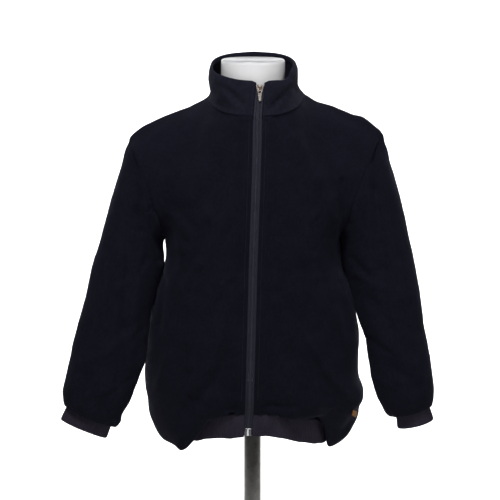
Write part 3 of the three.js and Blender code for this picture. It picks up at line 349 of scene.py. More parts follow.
def row_at(heights, z):
    index = np.searchsorted(heights[1:-1], z, side="left")
    return index + (z - heights[index]) / (heights[index + 1] - heights[index])


def zip_at(z):
    z = np.asarray(z, float)
    row = row_at(ZIP_LINE["z"], z)
    return read(ZIP_LINE["x"], row), read(ZIP_LINE["y"], row)


def at_row(columns, row):
    """Every column of a table at fractional rows."""
    return {name: read(values, row) for name, values in columns.items()}


def points(x, y, z):
    return np.stack(np.broadcast_arrays(x, y, z), -1).astype(float)


def unit(vectors):
    length = np.linalg.norm(vectors, axis=-1, keepdims=True)
    return vectors / np.maximum(length, 1e-9)


def quarter(u, start_x, side_x, side_y, end_y, power):
    """A quarter of a rounded section: u 0 is the middle and u 1 the side."""
    angle = np.clip(u, 0, 1) * np.pi / 2
    across = np.sin(angle) ** (2 / power)
    along = np.maximum(np.cos(angle), 0) ** (2 / power)
    return lerp(start_x, side_x, across), lerp(side_y, end_y, along)


def hump(distance, reach):
    return np.exp(-(distance / reach) ** 2)


def round_height(middle, side, u):
    t = np.sin(np.clip(u, 0, 1) * np.pi / 2)
    return lerp(middle, side, t * t)


LATTICE = np.random.default_rng(11).standard_normal((40, 40, 40))


def lattice_noise(p, scale, shift=0.0):
    """Smooth seeded noise at points p, with features about scale millimetres wide."""
    q = np.asarray(p) / scale + 500.3 + shift
    cell = np.floor(q).astype(int)
    f = q - cell
    f = f * f * (3 - 2 * f)
    total = 0
    for corner in range(8):
        step = np.array([corner & 1, corner >> 1 & 1, corner >> 2])
        weight = np.prod(np.where(step == 1, f, 1 - f), axis=-1)
        index = (cell + step) % 40
        total = total + weight * LATTICE[index[..., 0], index[..., 1], index[..., 2]]
    return total


def side_name(side):
    return "left" if side < 0 else "right"


def halves(share):
    """Whether each share lies in the first half, and how far it is from the nearer end."""
    first = share < 0.5
    return first, np.where(first, share * 2, (1 - share) * 2)


# Body surfaces, in rows (down the first axis) and columns
def front_section(side, u, row):
    at = at_row(BODY, row)
    away = smooth(u / EDGE_SHARE)
    middle = lerp(at["zip"], at["front"], away)
    start, end = HEM_DROP[side]
    dropped = lerp(middle, at["side"], smooth((u - start) / (end - start)))
    roll = smooth(row / 1.2) * (1 - smooth((row - 3.5) / 2.5))
    z = lerp(round_height(middle, at["side"], u), dropped, roll)
    zip_x, zip_y = zip_at(at["zip"])
    front_y = lerp(zip_y, at["frontY"], away)
    x, y = quarter(u, zip_x + side * ZIP_OPENING, side * at[side_name(side)], BODY_MIDDLE_Y, front_y,
                   BODY_POWER)
    return points(x, y, z)


def back_section(side, u, row):
    at = at_row(BODY, row)
    x, y = quarter(u, 1, side * at[side_name(side)], BODY_MIDDLE_Y, at["backY"], BODY_POWER)
    return points(x, y, round_height(at["back"], at["side"], u))


SECTIONS = {"front": front_section, "back": back_section}


def armhole_point(side, face, w):
    at = at_row(ARMHOLE, np.clip(w, 0, 1) * 5)
    name = side_name(side)
    return points(side * at[name], at[face + "Y"], at[name + "Z"])


def collar_ring(side, t, ring, level):
    front, u = halves(t)
    name = side_name(side)
    height = read(COLLAR_RING[level + name.capitalize()], t * 4)
    edge = float(zip_at(COLLAR_BASE_Z if level == "base" else COLLAR_TOP_Z)[0]) + side * ZIP_OPENING
    start = np.where(front, edge, ring["middle"])
    end = np.where(front, ring["frontY"], ring["backY"])
    x, y = quarter(u, start, side * ring[name], ring["sideY"], end, COLLAR_POWER)
    return points(x, y, height)


def top_edge(side, face, u):
    """Top edge of a panel: the neckline and then the shoulder seam."""
    t = np.clip(u / NECK_SHARE, 0, 1) * 0.5
    neck = collar_ring(side, t if face == "front" else 1 - t, COLLAR_BASE, "base")
    at = at_row(SHOULDER, np.clip((u - NECK_SHARE) / (1 - NECK_SHARE), 0, 1) * 4)
    name = side_name(side)
    shoulder = points(side * at[name], at["y"], at[name + "Z"])
    return np.where((u <= NECK_SHARE + 1e-9)[..., None], neck, shoulder)


def upper_section(side, face, u, w):
    """Upper part of a panel between the chest line (w 0) and the top edge (w 1)."""
    angle = w * np.pi / 2
    across = lerp(1 - np.cos(angle), w, 0.12)
    share = points(across, across, lerp(np.sin(angle), w, 0.35))

    def base(t):
        low = SECTIONS[face](side, t, np.full((1, 1), float(ARMPIT_ROW)))
        return low + (top_edge(side, face, t) - low) * share
    side_edge = base(np.ones((1, 1)))
    result = base(u)
    result += (armhole_point(side, face, w) - side_edge) * (u ** 3)[..., None]
    if face == "front":
        start = base(np.zeros((1, 1)))
        zip_x, zip_y = zip_at(start[..., 2])
        edge = points(zip_x + side * ZIP_OPENING, zip_y, start[..., 2])
        result += (edge - start) * ((1 - u) ** 4)[..., None]
    return result


def spaced_columns():
    """Column positions that are dense by the zip, even by length elsewhere, and meet the neck's corner."""
    fine = np.linspace(0, 1, 4001)
    line = front_section(1, fine[None, :], np.full((1, 1), 7.0))[0]
    length = np.concatenate([[0], np.cumsum(np.linalg.norm(np.diff(line, axis=0), axis=1))])
    near = [0, 0.5, 1.1, 1.8, 2.7, 3.7, 4.7, 5.6, 6.4, 7.2, 8.1, 9.1, 10.3, 11.7, 13.3, 15.1]
    total = length[-1]
    rest = np.linspace(17.2, total - 4, 74)
    wanted = np.concatenate([near, rest, [total - 2.4, total - 1.1, total]])
    u = np.interp(wanted, length, fine)
    u[np.argmin(abs(u - NECK_SHARE))] = NECK_SHARE
    u[0], u[-1] = 0.0, 1.0
    return u


COLUMNS = spaced_columns()
LOW_ROWS = np.concatenate([np.linspace(0, ROLL_ROW, 42), np.linspace(ROLL_ROW, ARMPIT_ROW, 84)[1:]])


def relaxed(grid, first):
    """Spreads the bend at the neck's corner over the chest, with all edges kept."""
    rows, columns = grid.shape[:2]
    j = np.arange(rows)[:, None]
    i = np.arange(columns)[None, :]
    share = smooth((j - first) / 24) * smooth((rows - 1 - j) / 5)
    share = (share * smooth((i - 12) / 12) * smooth((columns - 1 - i) / 6) * 0.5)[..., None]
    for _ in range(170):
        mean = grid.copy()
        mean[1:-1, 1:-1] = ((grid[1:-1, :-2] + grid[1:-1, 2:]) * 0.4
                            + (grid[:-2, 1:-1] + grid[2:, 1:-1]) * 0.1)
        grid = grid + (mean - grid) * share
    return grid


def panel(side, face):
    u = COLUMNS[None, :]
    low = SECTIONS[face](side, u, LOW_ROWS[:, None])
    high = upper_section(side, face, u, (np.arange(1, ARM_STEPS + 1) / ARM_STEPS)[:, None])
    return relaxed(np.concatenate([low, high]), len(LOW_ROWS) - 30)


def back_panel():
    left = panel(-1, "back")[:, ::-1]
    right = panel(1, "back")
    grid = np.concatenate([left, right[:, 1:]], axis=1)
    middle = left.shape[1] - 1
    near = (grid[:, middle - 3] + grid[:, middle + 3]) / 2
    grid[:, middle] = lerp(grid[:, middle], near, np.array([1.0, 0.6, 0.6]))
    return grid


def oval(side, at, angle):
    t = (1 - np.cos(angle)) / 2
    return points(side * lerp(at["innerX"], at["outerX"], t), at["y"] - at["depth"] * np.sin(angle),
                  lerp(at["innerZ"], at["outerZ"], t))


def sleeve_rows(side):
    """Rows at an even spacing along the outer edge, closer on the roll above the cuff."""
    last = len(SLEEVES[side]["y"]) - 1
    fine = np.linspace(0, last, last * 100 + 1)
    at = at_row(SLEEVES[side], fine)
    edges = [points(at[e + "X"], 0, at[e + "Z"]) for e in ("inner", "outer")]
    steps = sum(np.linalg.norm(np.diff(edge, axis=0), axis=1) for edge in edges) / 2
    steps = steps * np.where(fine[1:] > 12.5, 1.6, 1.0)
    length = np.concatenate([[0], np.cumsum(steps)])
    first = [0, 0.8, 1.8, 3.2]
    return np.interp(np.concatenate([first, np.linspace(5, length[-1], 142)]), length, fine)


def sleeve(side):
    rows = sleeve_rows(side)[:, None]
    around = 2 * ARM_STEPS
    k = np.arange(around)
    angle = (k / around * 2 * np.pi)[None, :]
    w = np.where(k <= ARM_STEPS, k, around - k) / ARM_STEPS
    start = np.where((k <= ARM_STEPS)[:, None], *(armhole_point(side, face, w) for face in SECTIONS))
    ring = oval(side, at_row(SLEEVES[side], rows), angle)
    plain = oval(side, {name: values[0] for name, values in SLEEVES[side].items()}, angle)
    keep = 1 - smooth(rows / 4.5)
    return ring + (start[None] - plain) * keep[..., None]


# Heights of folds, creases, seams and nap above the plain surfaces
def each_fold(folds, x, z):
    for x1, z1, x2, z2, width, height in zip(*folds.values()):
        dx, dz = x2 - x1, z2 - z1
        t = np.clip(((x - x1) * dx + (z - z1) * dz) / (dx * dx + dz * dz), 0, 1)
        yield height * hump(np.hypot(x - x1 - dx * t, z - z1 - dz * t), width)


def fold_height(folds, x, z):
    return sum(each_fold(folds, x, z), np.zeros(np.shape(x)))


def crease_height(creases, x, z):
    """As fold_height, but creases that run into each other don't add up."""
    ridge, trough = np.zeros(np.shape(x)), np.zeros(np.shape(x))
    for height in each_fold(creases, x, z):
        ridge, trough = np.maximum(ridge, height), np.minimum(trough, height)
    return ridge + trough


def seam_dip(distance):
    """A stitched seam: a soft valley between two rounded edges."""
    return -0.62 * hump(distance, 2.4) + 0.30 * hump(distance - 7, 3.6)


def lobe_shift(p):
    """How far the lobes of the hem lie from the plain cut."""
    shift = np.zeros_like(p)
    share = smooth((646 - p[..., 2]) / 34) * smooth((5 - p[..., 1]) / 30)
    for x, reach, across, up in zip(*HEM_SHAPE.values()):
        near = share * hump(p[..., 0] - x, reach)
        shift[..., 0] += across * near
        shift[..., 2] += up * near
    return shift


def touching(side, z):
    """How far body and sleeve swell towards each other where the sleeve lies against the side."""
    swell, low, high, rise, middle, reach = TOUCH[side]
    return swell * smooth((z - low) / 28) * (1 - smooth((z - high) / 20)) + rise * hump(z - middle, reach)


def side_seam(side, z, distance):
    touch = touching(side, z)
    return seam_dip(distance) * (1 - np.clip(touch, 0, 1)) + touch * hump(distance, TOUCH_REACH)


def zip_edge(distance, wander):
    """The turned edge beside the zip: a rounded fold, a stitched line, a soft ridge and a valley."""
    edge = -1.3 * np.clip(1 - distance / 1.8, 0, 1) ** 2
    stitched = -0.45 * hump(distance - STITCH_INSET, 1.6)
    valley = -(1.3 + 0.6 * wander) * hump(distance - 25, 8.5)
    return edge + stitched + hump(distance - 11.5, 4.2) + valley


def nap(p):
    return (0.75 * lattice_noise(p, 46) + 0.34 * lattice_noise(p, 17, 7.7)
            + 0.10 * lattice_noise(p, 6.5, 3.1))


def along(grid, axis):
    """Running length of the grid's rows or columns."""
    steps = np.linalg.norm(np.diff(grid, axis=axis), axis=-1)
    zero = np.zeros_like(np.take(steps, [0], axis=axis))
    return np.cumsum(np.concatenate([zero, steps], axis=axis), axis=axis)


def edge_distance(grid):
    """Running distance from the nearer end of each row."""
    across = along(grid, 1)
    return np.minimum(across, across[:, -1:] - across)


def gathers(position, rise, seed, reach=26.0):
    """Uneven small pleats where the fleece is gathered on to a rib."""
    line = np.stack([position, np.full_like(position, 4.0), np.full_like(position, 9.0)], -1)
    wave = lattice_noise(line, 9.0, seed) + 0.6 * lattice_noise(line, 4.6, seed + 3)
    return 0.85 * wave * hump(rise, reach) * smooth(rise / 4)


def front_heights(side, grid):
    x, z = grid[..., 0], grid[..., 2]
    zip_x, _ = zip_at(z)
    edge = np.abs(x - zip_x) - ZIP_OPENING
    folds = fold_height(FRONT_FOLDS, x, z) + BODY_CREASES * crease_height(FRONT_CREASES, x, z)
    height = folds * smooth(edge / 22) * smooth((z - 655) / 30) + fold_height(BODY_SHAPE, x, z)
    height += nap(grid) * smooth(edge / 14 + 0.15)
    across = along(grid, 1)
    down = along(grid, 0)
    height += zip_edge(across, lattice_noise(points(0, side * 40, z), 60))
    height += side_seam(side, z, across[:, -1:] - across)
    height += gathers(across, down, 1.5 + side)
    height += seam_dip(down[-1:] - down) * smooth((z - 1000) / 40)
    return height


def back_heights(grid):
    x, z = grid[..., 0], grid[..., 2]
    folds = fold_height(BACK_FOLDS, x, z) + BODY_CREASES * crease_height(BACK_CREASES, x, z)
    height = folds * smooth((z - 650) / 40) + nap(grid) + fold_height(BODY_SHAPE, x, z)
    across = along(grid, 1)
    down = along(grid, 0)
    height += side_seam(-1, z, across)
    height += side_seam(1, z, across[:, -1:] - across)
    height += gathers(across, down, 5.2)
    height += seam_dip(down[-1:] - down) * smooth((z - 1000) / 40)
    return height


def sleeve_heights(side, grid):
    x, y, z = grid[..., 0], grid[..., 1], grid[..., 2]
    front = smooth((-y + 4) / 24)
    back = smooth((y + 34) / 24) * (1 - front)
    creases = [SLEEVE_CREASES * crease_height(t, x, z) for t in (SLEEVE_CREASES_FRONT, SLEEVE_CREASES_BACK)]
    height = (fold_height(SLEEVE_FOLDS_FRONT, x, z) + creases[0]) * front
    height += (fold_height(SLEEVE_FOLDS_BACK, x, z) + creases[1]) * back
    height = height * smooth((z - 664) / 36) + nap(grid)
    height += fold_height(BODY_SHAPE, x, z) * smooth((z - 1000) / 30)
    down = along(grid, 0)
    ring = along(np.concatenate([grid, grid[:, :1]], axis=1), 1)
    around, total = ring[:, :-1], ring[:, -1:]
    height += seam_dip(down)
    under = np.minimum(around, total - around)
    touch = touching(side, z)
    height += seam_dip(under) * smooth(down / 12) * (1 - np.clip(touch, 0, 1))
    height += touch * hump(under, TOUCH_REACH)
    height += gathers(around, down[-1:] - down, 8.0 + side, 20.0) * smooth(under / 10)
    return height


# Grids that share seams
def quad_normals(grid, closed, flip):
    """Vertex normals of a grid, from its faces."""
    nxt = np.concatenate([grid, grid[:, :1]], axis=1) if closed else grid
    a, b, c, d = nxt[:-1, :-1], nxt[:-1, 1:], nxt[1:, 1:], nxt[1:, :-1]
    face = np.cross(c - a, d - b) * (-1 if flip else 1)
    total = np.zeros_like(nxt)
    total[:-1, :-1] += face
    total[:-1, 1:] += face
    total[1:, 1:] += face
    total[1:, :-1] += face
    if closed:
        total[:, 0] += total[:, -1]
        total = total[:, :-1]
    return unit(total)


class Seams:
    """Points of several grids that coincide and stay together."""

    def __init__(self, grids):
        self.shapes = [g.shape[:2] for g in grids]
        flat = np.concatenate([g.reshape(-1, 3) for g in grids])
        keys = np.round(flat * 20).astype(np.int64)
        _, self.ids = np.unique(keys, axis=0, return_inverse=True)
        self.ids = self.ids.reshape(-1)
        self.count = np.bincount(self.ids)

    def mean(self, values):
        """Averages values over the points that coincide."""
        flat = np.concatenate([v.reshape(rows * columns, -1)
                               for v, (rows, columns) in zip(values, self.shapes)])
        sums = np.stack([np.bincount(self.ids, flat[:, k]) for k in range(flat.shape[1])], -1)
        spread = (sums / self.count[:, None])[self.ids]
        ends = np.cumsum([rows * columns for rows, columns in self.shapes])
        return [part.reshape(*shape, -1) for part, shape in zip(np.split(spread, ends[:-1]), self.shapes)]


def steadied(normals, plain):
    """Normals that fall back on the plain surface's where a tight gather turns them over."""
    agree = np.sum(normals * plain, axis=-1, keepdims=True)
    return unit(lerp(normals, plain, smooth((0.9 - agree) / 0.3)))


def cloth_grids():
    """Outer and inner grids, normals, closed and flip of the fleece pieces."""
    pieces = {
        "front_left": (panel(-1, "front"), False, True),
        "front_right": (panel(1, "front"), False, False),
        "back": (back_panel(), False, True),
        "sleeve_left": (sleeve(-1), True, False),
        "sleeve_right": (sleeve(1), True, True),
    }
    grids = [grid for grid, _, _ in pieces.values()]
    senses = [sense for _, *sense in pieces.values()]
    seams = Seams(grids)

    def joined_normals(surfaces):
        return [unit(v) for v in seams.mean([quad_normals(s, *sense) for s, sense in zip(surfaces, senses)])]

    normals = joined_normals(grids)
    heights = [front_heights(-1, grids[0]), front_heights(1, grids[1]), back_heights(grids[2]),
               sleeve_heights(-1, grids[3]), sleeve_heights(1, grids[4])]
    lift = seams.mean([h[..., None] for h in heights])
    outer = [g + n * h + lobe_shift(g) for g, n, h in zip(grids, normals, lift)]
    turned = [steadied(v, n) for v, n in zip(joined_normals(outer), normals)]
    return {name: (o, o - t * FLEECE, t, *sense) for name, o, t, sense in zip(pieces, outer, turned, senses)}


# Meshes
def add_object(name, data):
    obj = bpy.data.objects.new(name, data)
    bpy.context.scene.collection.objects.link(obj)
    return obj


def declare(obj, nodes, body="jacket_and_form"):
    """Attaches a piece to its body and hides the solids that it replaces."""
    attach(obj, body)
    if nodes:
        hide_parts(*nodes)
    return obj


def make_object(name, verts, faces, material, normals=None):
    """An object from vertices in millimetres and faces of three or four corners."""
    mesh = bpy.data.meshes.new(name)
    mesh.from_pydata((np.asarray(verts) / 1000).tolist(), [], [list(map(int, f)) for f in faces])
    mesh.materials.append(material)
    mesh.polygons.foreach_set("use_smooth", np.ones(len(mesh.polygons), bool))
    mesh.update()
    if normals is not None:
        mesh.normals_split_custom_set_from_vertices(np.asarray(normals).tolist())
    return add_object(name, mesh)


def grid_faces(rows, columns, last):
    """Four-cornered faces of a grid; with last equal to columns it closes on itself."""
    j, i = np.meshgrid(np.arange(rows - 1), np.arange(last), indexing="ij")
    j, i = j.ravel(), i.ravel()
    n = (i + 1) % columns
    return np.stack([j * columns + i, j * columns + n, (j + 1) * columns + n, (j + 1) * columns + i], -1)


def wall_faces(rows, columns, closed, flip):
    """Faces of a closed wall from an outer and an inner grid."""
    last = columns if closed else columns - 1
    inner = rows * columns
    outside = grid_faces(rows, columns, last)
    faces = [outside, inner + outside[:, ::-1]]
    e = np.arange(last)
    f = (e + 1) % columns
    top = (rows - 1) * columns
    faces.append(np.stack([inner + e, inner + f, f, e], -1))
    faces.append(np.stack([top + e, top + f, inner + top + f, inner + top + e], -1))
    if not closed:
        r = np.arange(rows - 1) * columns
        s = r + columns
        end = columns - 1
        faces.append(np.stack([inner + r, r, s, inner + s], -1))
        faces.append(np.stack([r + end, inner + r + end, inner + s + end, s + end], -1))
    faces = np.concatenate(faces)
    return faces[:, ::-1] if flip else faces


def wall(name, outer, inner, closed, flip, material, normals=None):
    rows, columns = outer.shape[:2]
    verts = np.concatenate([outer.reshape(-1, 3), inner.reshape(-1, 3)])
    vectors = None
    if normals is not None:
        flat = normals.reshape(-1, 3)
        vectors = np.concatenate([flat, -flat])
    return make_object(name, verts, wall_faces(rows, columns, closed, flip), material, vectors)


def tube_faces(rings, around):
    """Faces of a closed loft of rings with fan caps; the two cap centres come last."""
    low, top = rings * around, (rings - 1) * around
    faces = grid_faces(rings, around, around).tolist()
    faces += [[low, (k + 1) % around, k] for k in range(around)]
    return faces + [[low + 1, top + k, top + (k + 1) % around] for k in range(around)]


def join(parts):
    """One list of vertices and faces from several."""
    verts, faces, start = [], [], 0
    for part_verts, part_faces in parts:
        verts.append(part_verts)
        faces += [[k + start for k in face] for face in part_faces]
        start += len(part_verts)
    return np.concatenate(verts), faces


def bevelled(obj, width, segments, angle):
    bevel = obj.modifiers.new("bevel", "BEVEL")
    bevel.width = width / 1000
    bevel.segments = segments
    bevel.limit_method = "ANGLE"
    bevel.angle_limit = math.radians(angle)


# Materials
class Nodes:
    """A short way to write a shader."""

    def __init__(self, name):
        self.material = bpy.data.materials.new(name)
        self.material.use_nodes = True
        self.tree = self.material.node_tree
        self.tree.nodes.clear()
        output = self.tree.nodes.new("ShaderNodeOutputMaterial")
        self.shader = self.tree.nodes.new("ShaderNodeBsdfPrincipled")
        self.link(self.shader.outputs[0], output.inputs[0])
        self.place = self.tree.nodes.new("ShaderNodeTexCoord").outputs["Object"]

    def link(self, a, b):
        self.tree.links.new(a, b)

    def add(self, kind, settings=(), **inputs):
        node = self.tree.nodes.new(kind)
        for key, value in dict(settings).items():
            setattr(node, key, value)
        for key, value in inputs.items():
            self.fill(node.inputs[int(key[1:]) if key[1:].isdigit() else key.replace("_", " ")], value)
        return node

    def fill(self, socket, value):
        if isinstance(value, bpy.types.NodeSocket):
            self.link(value, socket)
        else:
            socket.default_value = value

    def set(self, **values):
        for key, value in values.items():
            self.fill(self.shader.inputs[key.replace("_", " ")], value)

    def noise(self, scale, detail, rough):
        return self.add("ShaderNodeTexNoise", Scale=scale, Detail=detail, Roughness=rough,
                        Vector=self.place).outputs["Fac"]

    def waves(self, settings, **inputs):
        return self.add("ShaderNodeTexWave", settings, Vector=self.place, **inputs).outputs["Fac"]

    def ramp(self, value, low, dark, high, light):
        node = self.add("ShaderNodeValToRGB", _0=value)
        for element, position, colour in zip(node.color_ramp.elements, (low, high), (dark, light)):
            element.position = position
            element.color = (*colour, 1)
        return node.outputs[0]

    def math(self, operation, a, b, clamp=False):
        return self.add("ShaderNodeMath", {"operation": operation, "use_clamp": clamp}, _0=a, _1=b).outputs[0]

    def mix(self, a, share, b, rest):
        return self.math("ADD", self.math("MULTIPLY", a, share), self.math("MULTIPLY", b, rest))

    def uneven(self, level, swing, *noise):
        """A value that wavers about a level."""
        return self.math("ADD", self.math("MULTIPLY", self.noise(*noise), swing), level - swing / 2)

    def bump(self, height, strength, distance, **under):
        node = self.add("ShaderNodeBump", Strength=strength, Distance=distance, Height=height, **under)
        return node.outputs[0]


def fleece_material(name, dark, light, tint):
    """Brushed polyester fleece: clumped pile, soft mottling and a cool sheen."""
    m = Nodes(name)
    mottling = m.mix(m.noise(34, 3, 0.55), 0.35, m.noise(260, 3, 0.6), 0.65)
    m.set(Base_Color=m.ramp(mottling, 0.36, dark, 0.66, light), Roughness=0.95)
    m.set(Sheen_Weight=0.022, Sheen_Roughness=0.38, Sheen_Tint=(*tint, 1), Specular_IOR_Level=0.03)
    cells = m.add("ShaderNodeTexVoronoi", {"feature": "SMOOTH_F1"}, Scale=520, Smoothness=0.6, Vector=m.place)
    pile = m.math("ADD", m.math("MULTIPLY", cells.outputs["Distance"], 0.5), m.noise(1250, 2, 0.7))
    clumps = m.bump(m.noise(150, 3, 0.6), 0.35, 0.0016)
    m.set(Normal=m.bump(pile, 0.55, 0.0007, Normal=clumps))
    return m.material


def rib_material(name, dark, light, tint):
    """Fine knit: columns of small loops."""
    m = Nodes(name)
    mottling = m.mix(m.noise(40, 3, 0.5), 0.6, m.noise(700, 2, 0.6), 0.4)
    m.set(Base_Color=m.ramp(mottling, 0.35, dark, 0.68, light), Roughness=0.9)
    m.set(Sheen_Weight=0.05, Sheen_Roughness=0.4, Sheen_Tint=(*tint, 1), Specular_IOR_Level=0.08)
    loops = m.waves({"bands_direction": "Z"}, Scale=135.0, Distortion=1.4, Detail=1.0, Detail_Scale=6.0)
    m.set(Normal=m.bump(m.noise(1600, 2, 0.6), 0.35, 0.0004, Normal=m.bump(loops, 0.35, 0.0005)))
    return m.material


def woven_material(name, dark, light):
    """Twill zip tape."""
    m = Nodes(name)
    m.set(Base_Color=m.ramp(m.noise(900, 2, 0.6), 0.35, dark, 0.65, light), Roughness=0.72)
    m.set(Sheen_Weight=0.04, Sheen_Roughness=0.4, Specular_IOR_Level=0.12)
    warp = m.waves({"bands_direction": "X"}, Scale=420.0, Distortion=0.4)
    weft = m.waves({"bands_direction": "DIAGONAL"}, Scale=300.0, Distortion=0.4)
    m.set(Normal=m.bump(m.math("MULTIPLY", warp, weft), 0.6, 0.0004))
    return m.material


def plastic_material(name, dark, light, roughness, coat=0.0, shine=0.5, grain=0.0002, top=None):
    """Moulded plastic; a top colour, where given, is painted shade that covers what faces upwards."""
    m = Nodes(name)
    skin = m.ramp(m.noise(60, 3, 0.5), 0.3, dark, 0.7, light)
    if top:
        # Painted shade: faces take the darker top colour more the more they point upwards.
        normal = m.add("ShaderNodeNewGeometry").outputs["True Normal"]
        rise = m.math("SUBTRACT", m.add("ShaderNodeSeparateXYZ", _0=normal).outputs["Z"], 0.1)
        cap = m.math("MULTIPLY", rise, 1.25, clamp=True)
        skin = m.add("ShaderNodeMix", {"data_type": "RGBA"}, _0=cap, _6=skin, _7=(*top, 1)).outputs[2]
    m.set(Base_Color=skin, Coat_Weight=coat, Coat_Roughness=0.12, Specular_IOR_Level=shine)
    m.set(Roughness=m.uneven(roughness, 0.12, 220, 3, 0.6), Normal=m.bump(m.noise(420, 3, 0.6), 0.12, grain))
    return m.material


def metal_material(name, dark, light, roughness, wear=300):
    m = Nodes(name)
    m.set(Base_Color=m.ramp(m.noise(wear, 4, 0.65), 0.3, dark, 0.7, light), Metallic=1.0)
    m.set(Roughness=m.uneven(roughness, 0.18, wear * 1.7, 3, 0.6))
    m.set(Normal=m.bump(m.noise(wear * 4, 2, 0.6), 0.1, 0.0001))
    return m.material


NAVY = fleece_material("fleece_navy", (0.00202, 0.00207, 0.0042), (0.00338, 0.00348, 0.0067),
                       (0.50, 0.56, 0.86))
# Painted light: the collar uses a lighter copy of the navy fleece, for the light its rolled faces catch.
LIT_COLLAR_NAVY = fleece_material("fleece_collar_painted_light", (0.0032, 0.0032, 0.0061), (0.0059, 0.0059, 0.0101),
                              (0.55, 0.58, 0.84))
RIB = rib_material("rib_knit", (0.0070, 0.0057, 0.0104), (0.0130, 0.0108, 0.0174), (0.62, 0.56, 0.76))
TAPE = woven_material("zip_tape", (0.0050, 0.0054, 0.0102), (0.0094, 0.0101, 0.0178))
TEETH = plastic_material("zip_teeth", (0.0068, 0.0073, 0.0128), (0.0122, 0.0130, 0.0222), 0.46, shine=0.16)
BOX = plastic_material("zip_box_plastic", (0.020, 0.020, 0.024), (0.038, 0.038, 0.045), 0.25, 0.25)
SLIDER_DARK = metal_material("slider_recess", (0.030, 0.022, 0.016), (0.075, 0.055, 0.040), 0.4)
SLIDER = metal_material("slider_metal", (0.13, 0.112, 0.102), (0.30, 0.265, 0.24), 0.32)
STEEL = metal_material("bright_steel", (0.35, 0.35, 0.36), (0.62, 0.62, 0.64), 0.22)
# Painted shade: the chrome gets a dark colour for the shadow and dark reflections on the pole.
SHADED_CHROME = metal_material("stand_chrome_painted_shade", (0.085, 0.083, 0.080), (0.13, 0.128, 0.122), 0.14, 90)
THREAD = woven_material("thread", (0.0030, 0.0030, 0.0062), (0.0056, 0.0056, 0.0105))
TAB = woven_material("side_tab_tape", (0.078, 0.030, 0.006), (0.140, 0.060, 0.012))
# The third colour is painted shade on the form's upward faces, the neck's top among them.
FORM = plastic_material("form_gloss_painted_top_shade", (0.395, 0.393, 0.400), (0.410, 0.408, 0.415), 0.30, 0.05, 0.18, 0.00003,
                        (0.095, 0.099, 0.103))
FLOOR = plastic_material("floor_pale", (0.86, 0.86, 0.86), (0.90, 0.90, 0.90), 0.6)


# Fleece panels and sleeves
CLOTH = cloth_grids()
PIECES = {}
for piece_name, (outer, inner, normal, closed, flip) in CLOTH.items():
    piece = wall("jacket_" + piece_name, outer, inner, closed, flip, NAVY, normal)
    PIECES[piece_name] = declare(piece, [piece_name])


# Collar: a double layer of fleece with a soft rolled rim
def collar():
    around = 216
    left, t = halves(np.linspace(0, 1, around + 1))
    side = np.where(left, -1, 1)

    def ring(loop, level):
        return np.where(left[:, None], collar_ring(-1, t, loop, level), collar_ring(1, t, loop, level))
    low, high = ring(COLLAR_BASE, "base"), ring(COLLAR_TOP, "top")
    levels = np.linspace(0, 1, 34)[:, None]
    middle = low[None] + (high - low)[None] * levels[..., None]
    from_edge = edge_distance(middle)
    raised = 4.2 * (0.45 + 0.55 * smooth(from_edge / 7)) * (1 - smooth((from_edge - 34) / 40)) + 0.8
    left_rise = 3.2 * hump(from_edge - 60, 18)
    right_rise = 6.0 * smooth((from_edge - 44) / 16) * (1 - smooth((from_edge - 80) / 40))
    right_rise = right_rise - 2.4 * hump(from_edge - 34, 10)
    middle[..., 2] += levels * (raised + np.where(left, left_rise, right_rise))
    middle[..., 0] -= side * 1.1 * hump(from_edge, 9) * levels
    bulge = (np.interp(levels, COLLAR_SIDES["level"], COLLAR_SIDES[name]) for name in ("left", "right"))
    bulge = np.where(left, *bulge) * np.sin(np.pi * np.clip(t * 1.15, 0, 1))
    out = unit(points(middle[..., 0] - 4, middle[..., 1] + 8, 0))
    middle = middle + out * bulge[..., None]
    normal = quad_normals(middle, False, True)
    x, y, z = middle[..., 0], middle[..., 1], middle[..., 2]
    edge = edge_distance(middle)
    folds = fold_height(COLLAR_CREASES, x, z) * smooth(-(y + 10) / 20) + nap(middle) * 0.8
    folds = folds * smooth(edge / 10 + 0.1) * smooth((z - COLLAR_BASE_Z) / 8 + 0.2)
    folds += zip_edge(edge, 0 * z) * 0.8 + seam_dip(along(middle, 0)) * 0.7
    rim = np.clip((levels - 0.86) / 0.14, 0, 1)
    taper = np.sqrt(np.maximum(1 - rim ** 2, 0.03))
    lift = np.zeros_like(middle)
    lift[..., 2] = rim
    core = middle - normal * COLLAR_THICKNESS / 2 + lift
    puff = 1 + 0.06 * lattice_noise(middle, 22, 2.2)
    half = (COLLAR_THICKNESS / 2 * taper) * puff
    roll = 1.1 * smooth((levels - 0.45) / 0.4) * taper
    outer = core + normal * (half + folds * taper)[..., None]
    inner = core - normal * (half + roll - folds * 0.6 * taper)[..., None]
    # The collar's lighter fleece is painted light.
    return declare(wall("jacket_collar", outer, inner, False, True, LIT_COLLAR_NAVY), ["collar"])


PIECES["collar"] = collar()


# Rib waistband and cuffs
def rib_profile(phase):
    """Rounded knit columns with narrow gaps; 0 at the crest."""
    wave = 0.5 - 0.5 * np.cos(phase * 2 * np.pi)
    return -RIB_DEPTH * (1 - np.sqrt(np.clip(wave, 0, 1)))


def band_point(share, level, out):
    left, t = halves(share)
    side = np.where(left, -1, 1)
    front, u = halves(t)
    away = smooth(u / EDGE_SHARE)
    result = []
    for heights in (BAND_BOTTOM, BAND_TOP):
        middle = np.where(front, lerp(heights["zip"], heights["front"], away), heights["back"])
        zip_x, zip_y = (float(v) for v in zip_at(heights["zip"]))
        start = np.where(front, zip_x + side * ZIP_OPENING, 1)
        end = np.where(front, zip_y, BAND["backY"])
        reach = np.where(left, -BAND["left"], BAND["right"])
        x, y = quarter(u, start, reach, 0, end, BAND["power"])
        result.append(points(x, y, round_height(middle, heights["side"], u)))
    line = result[0][None] + (result[1] - result[0])[None] * level[:, None, None]
    normal = unit(points(line[..., 0] - 5, line[..., 1], 0))
    return line + normal * out[..., None], normal


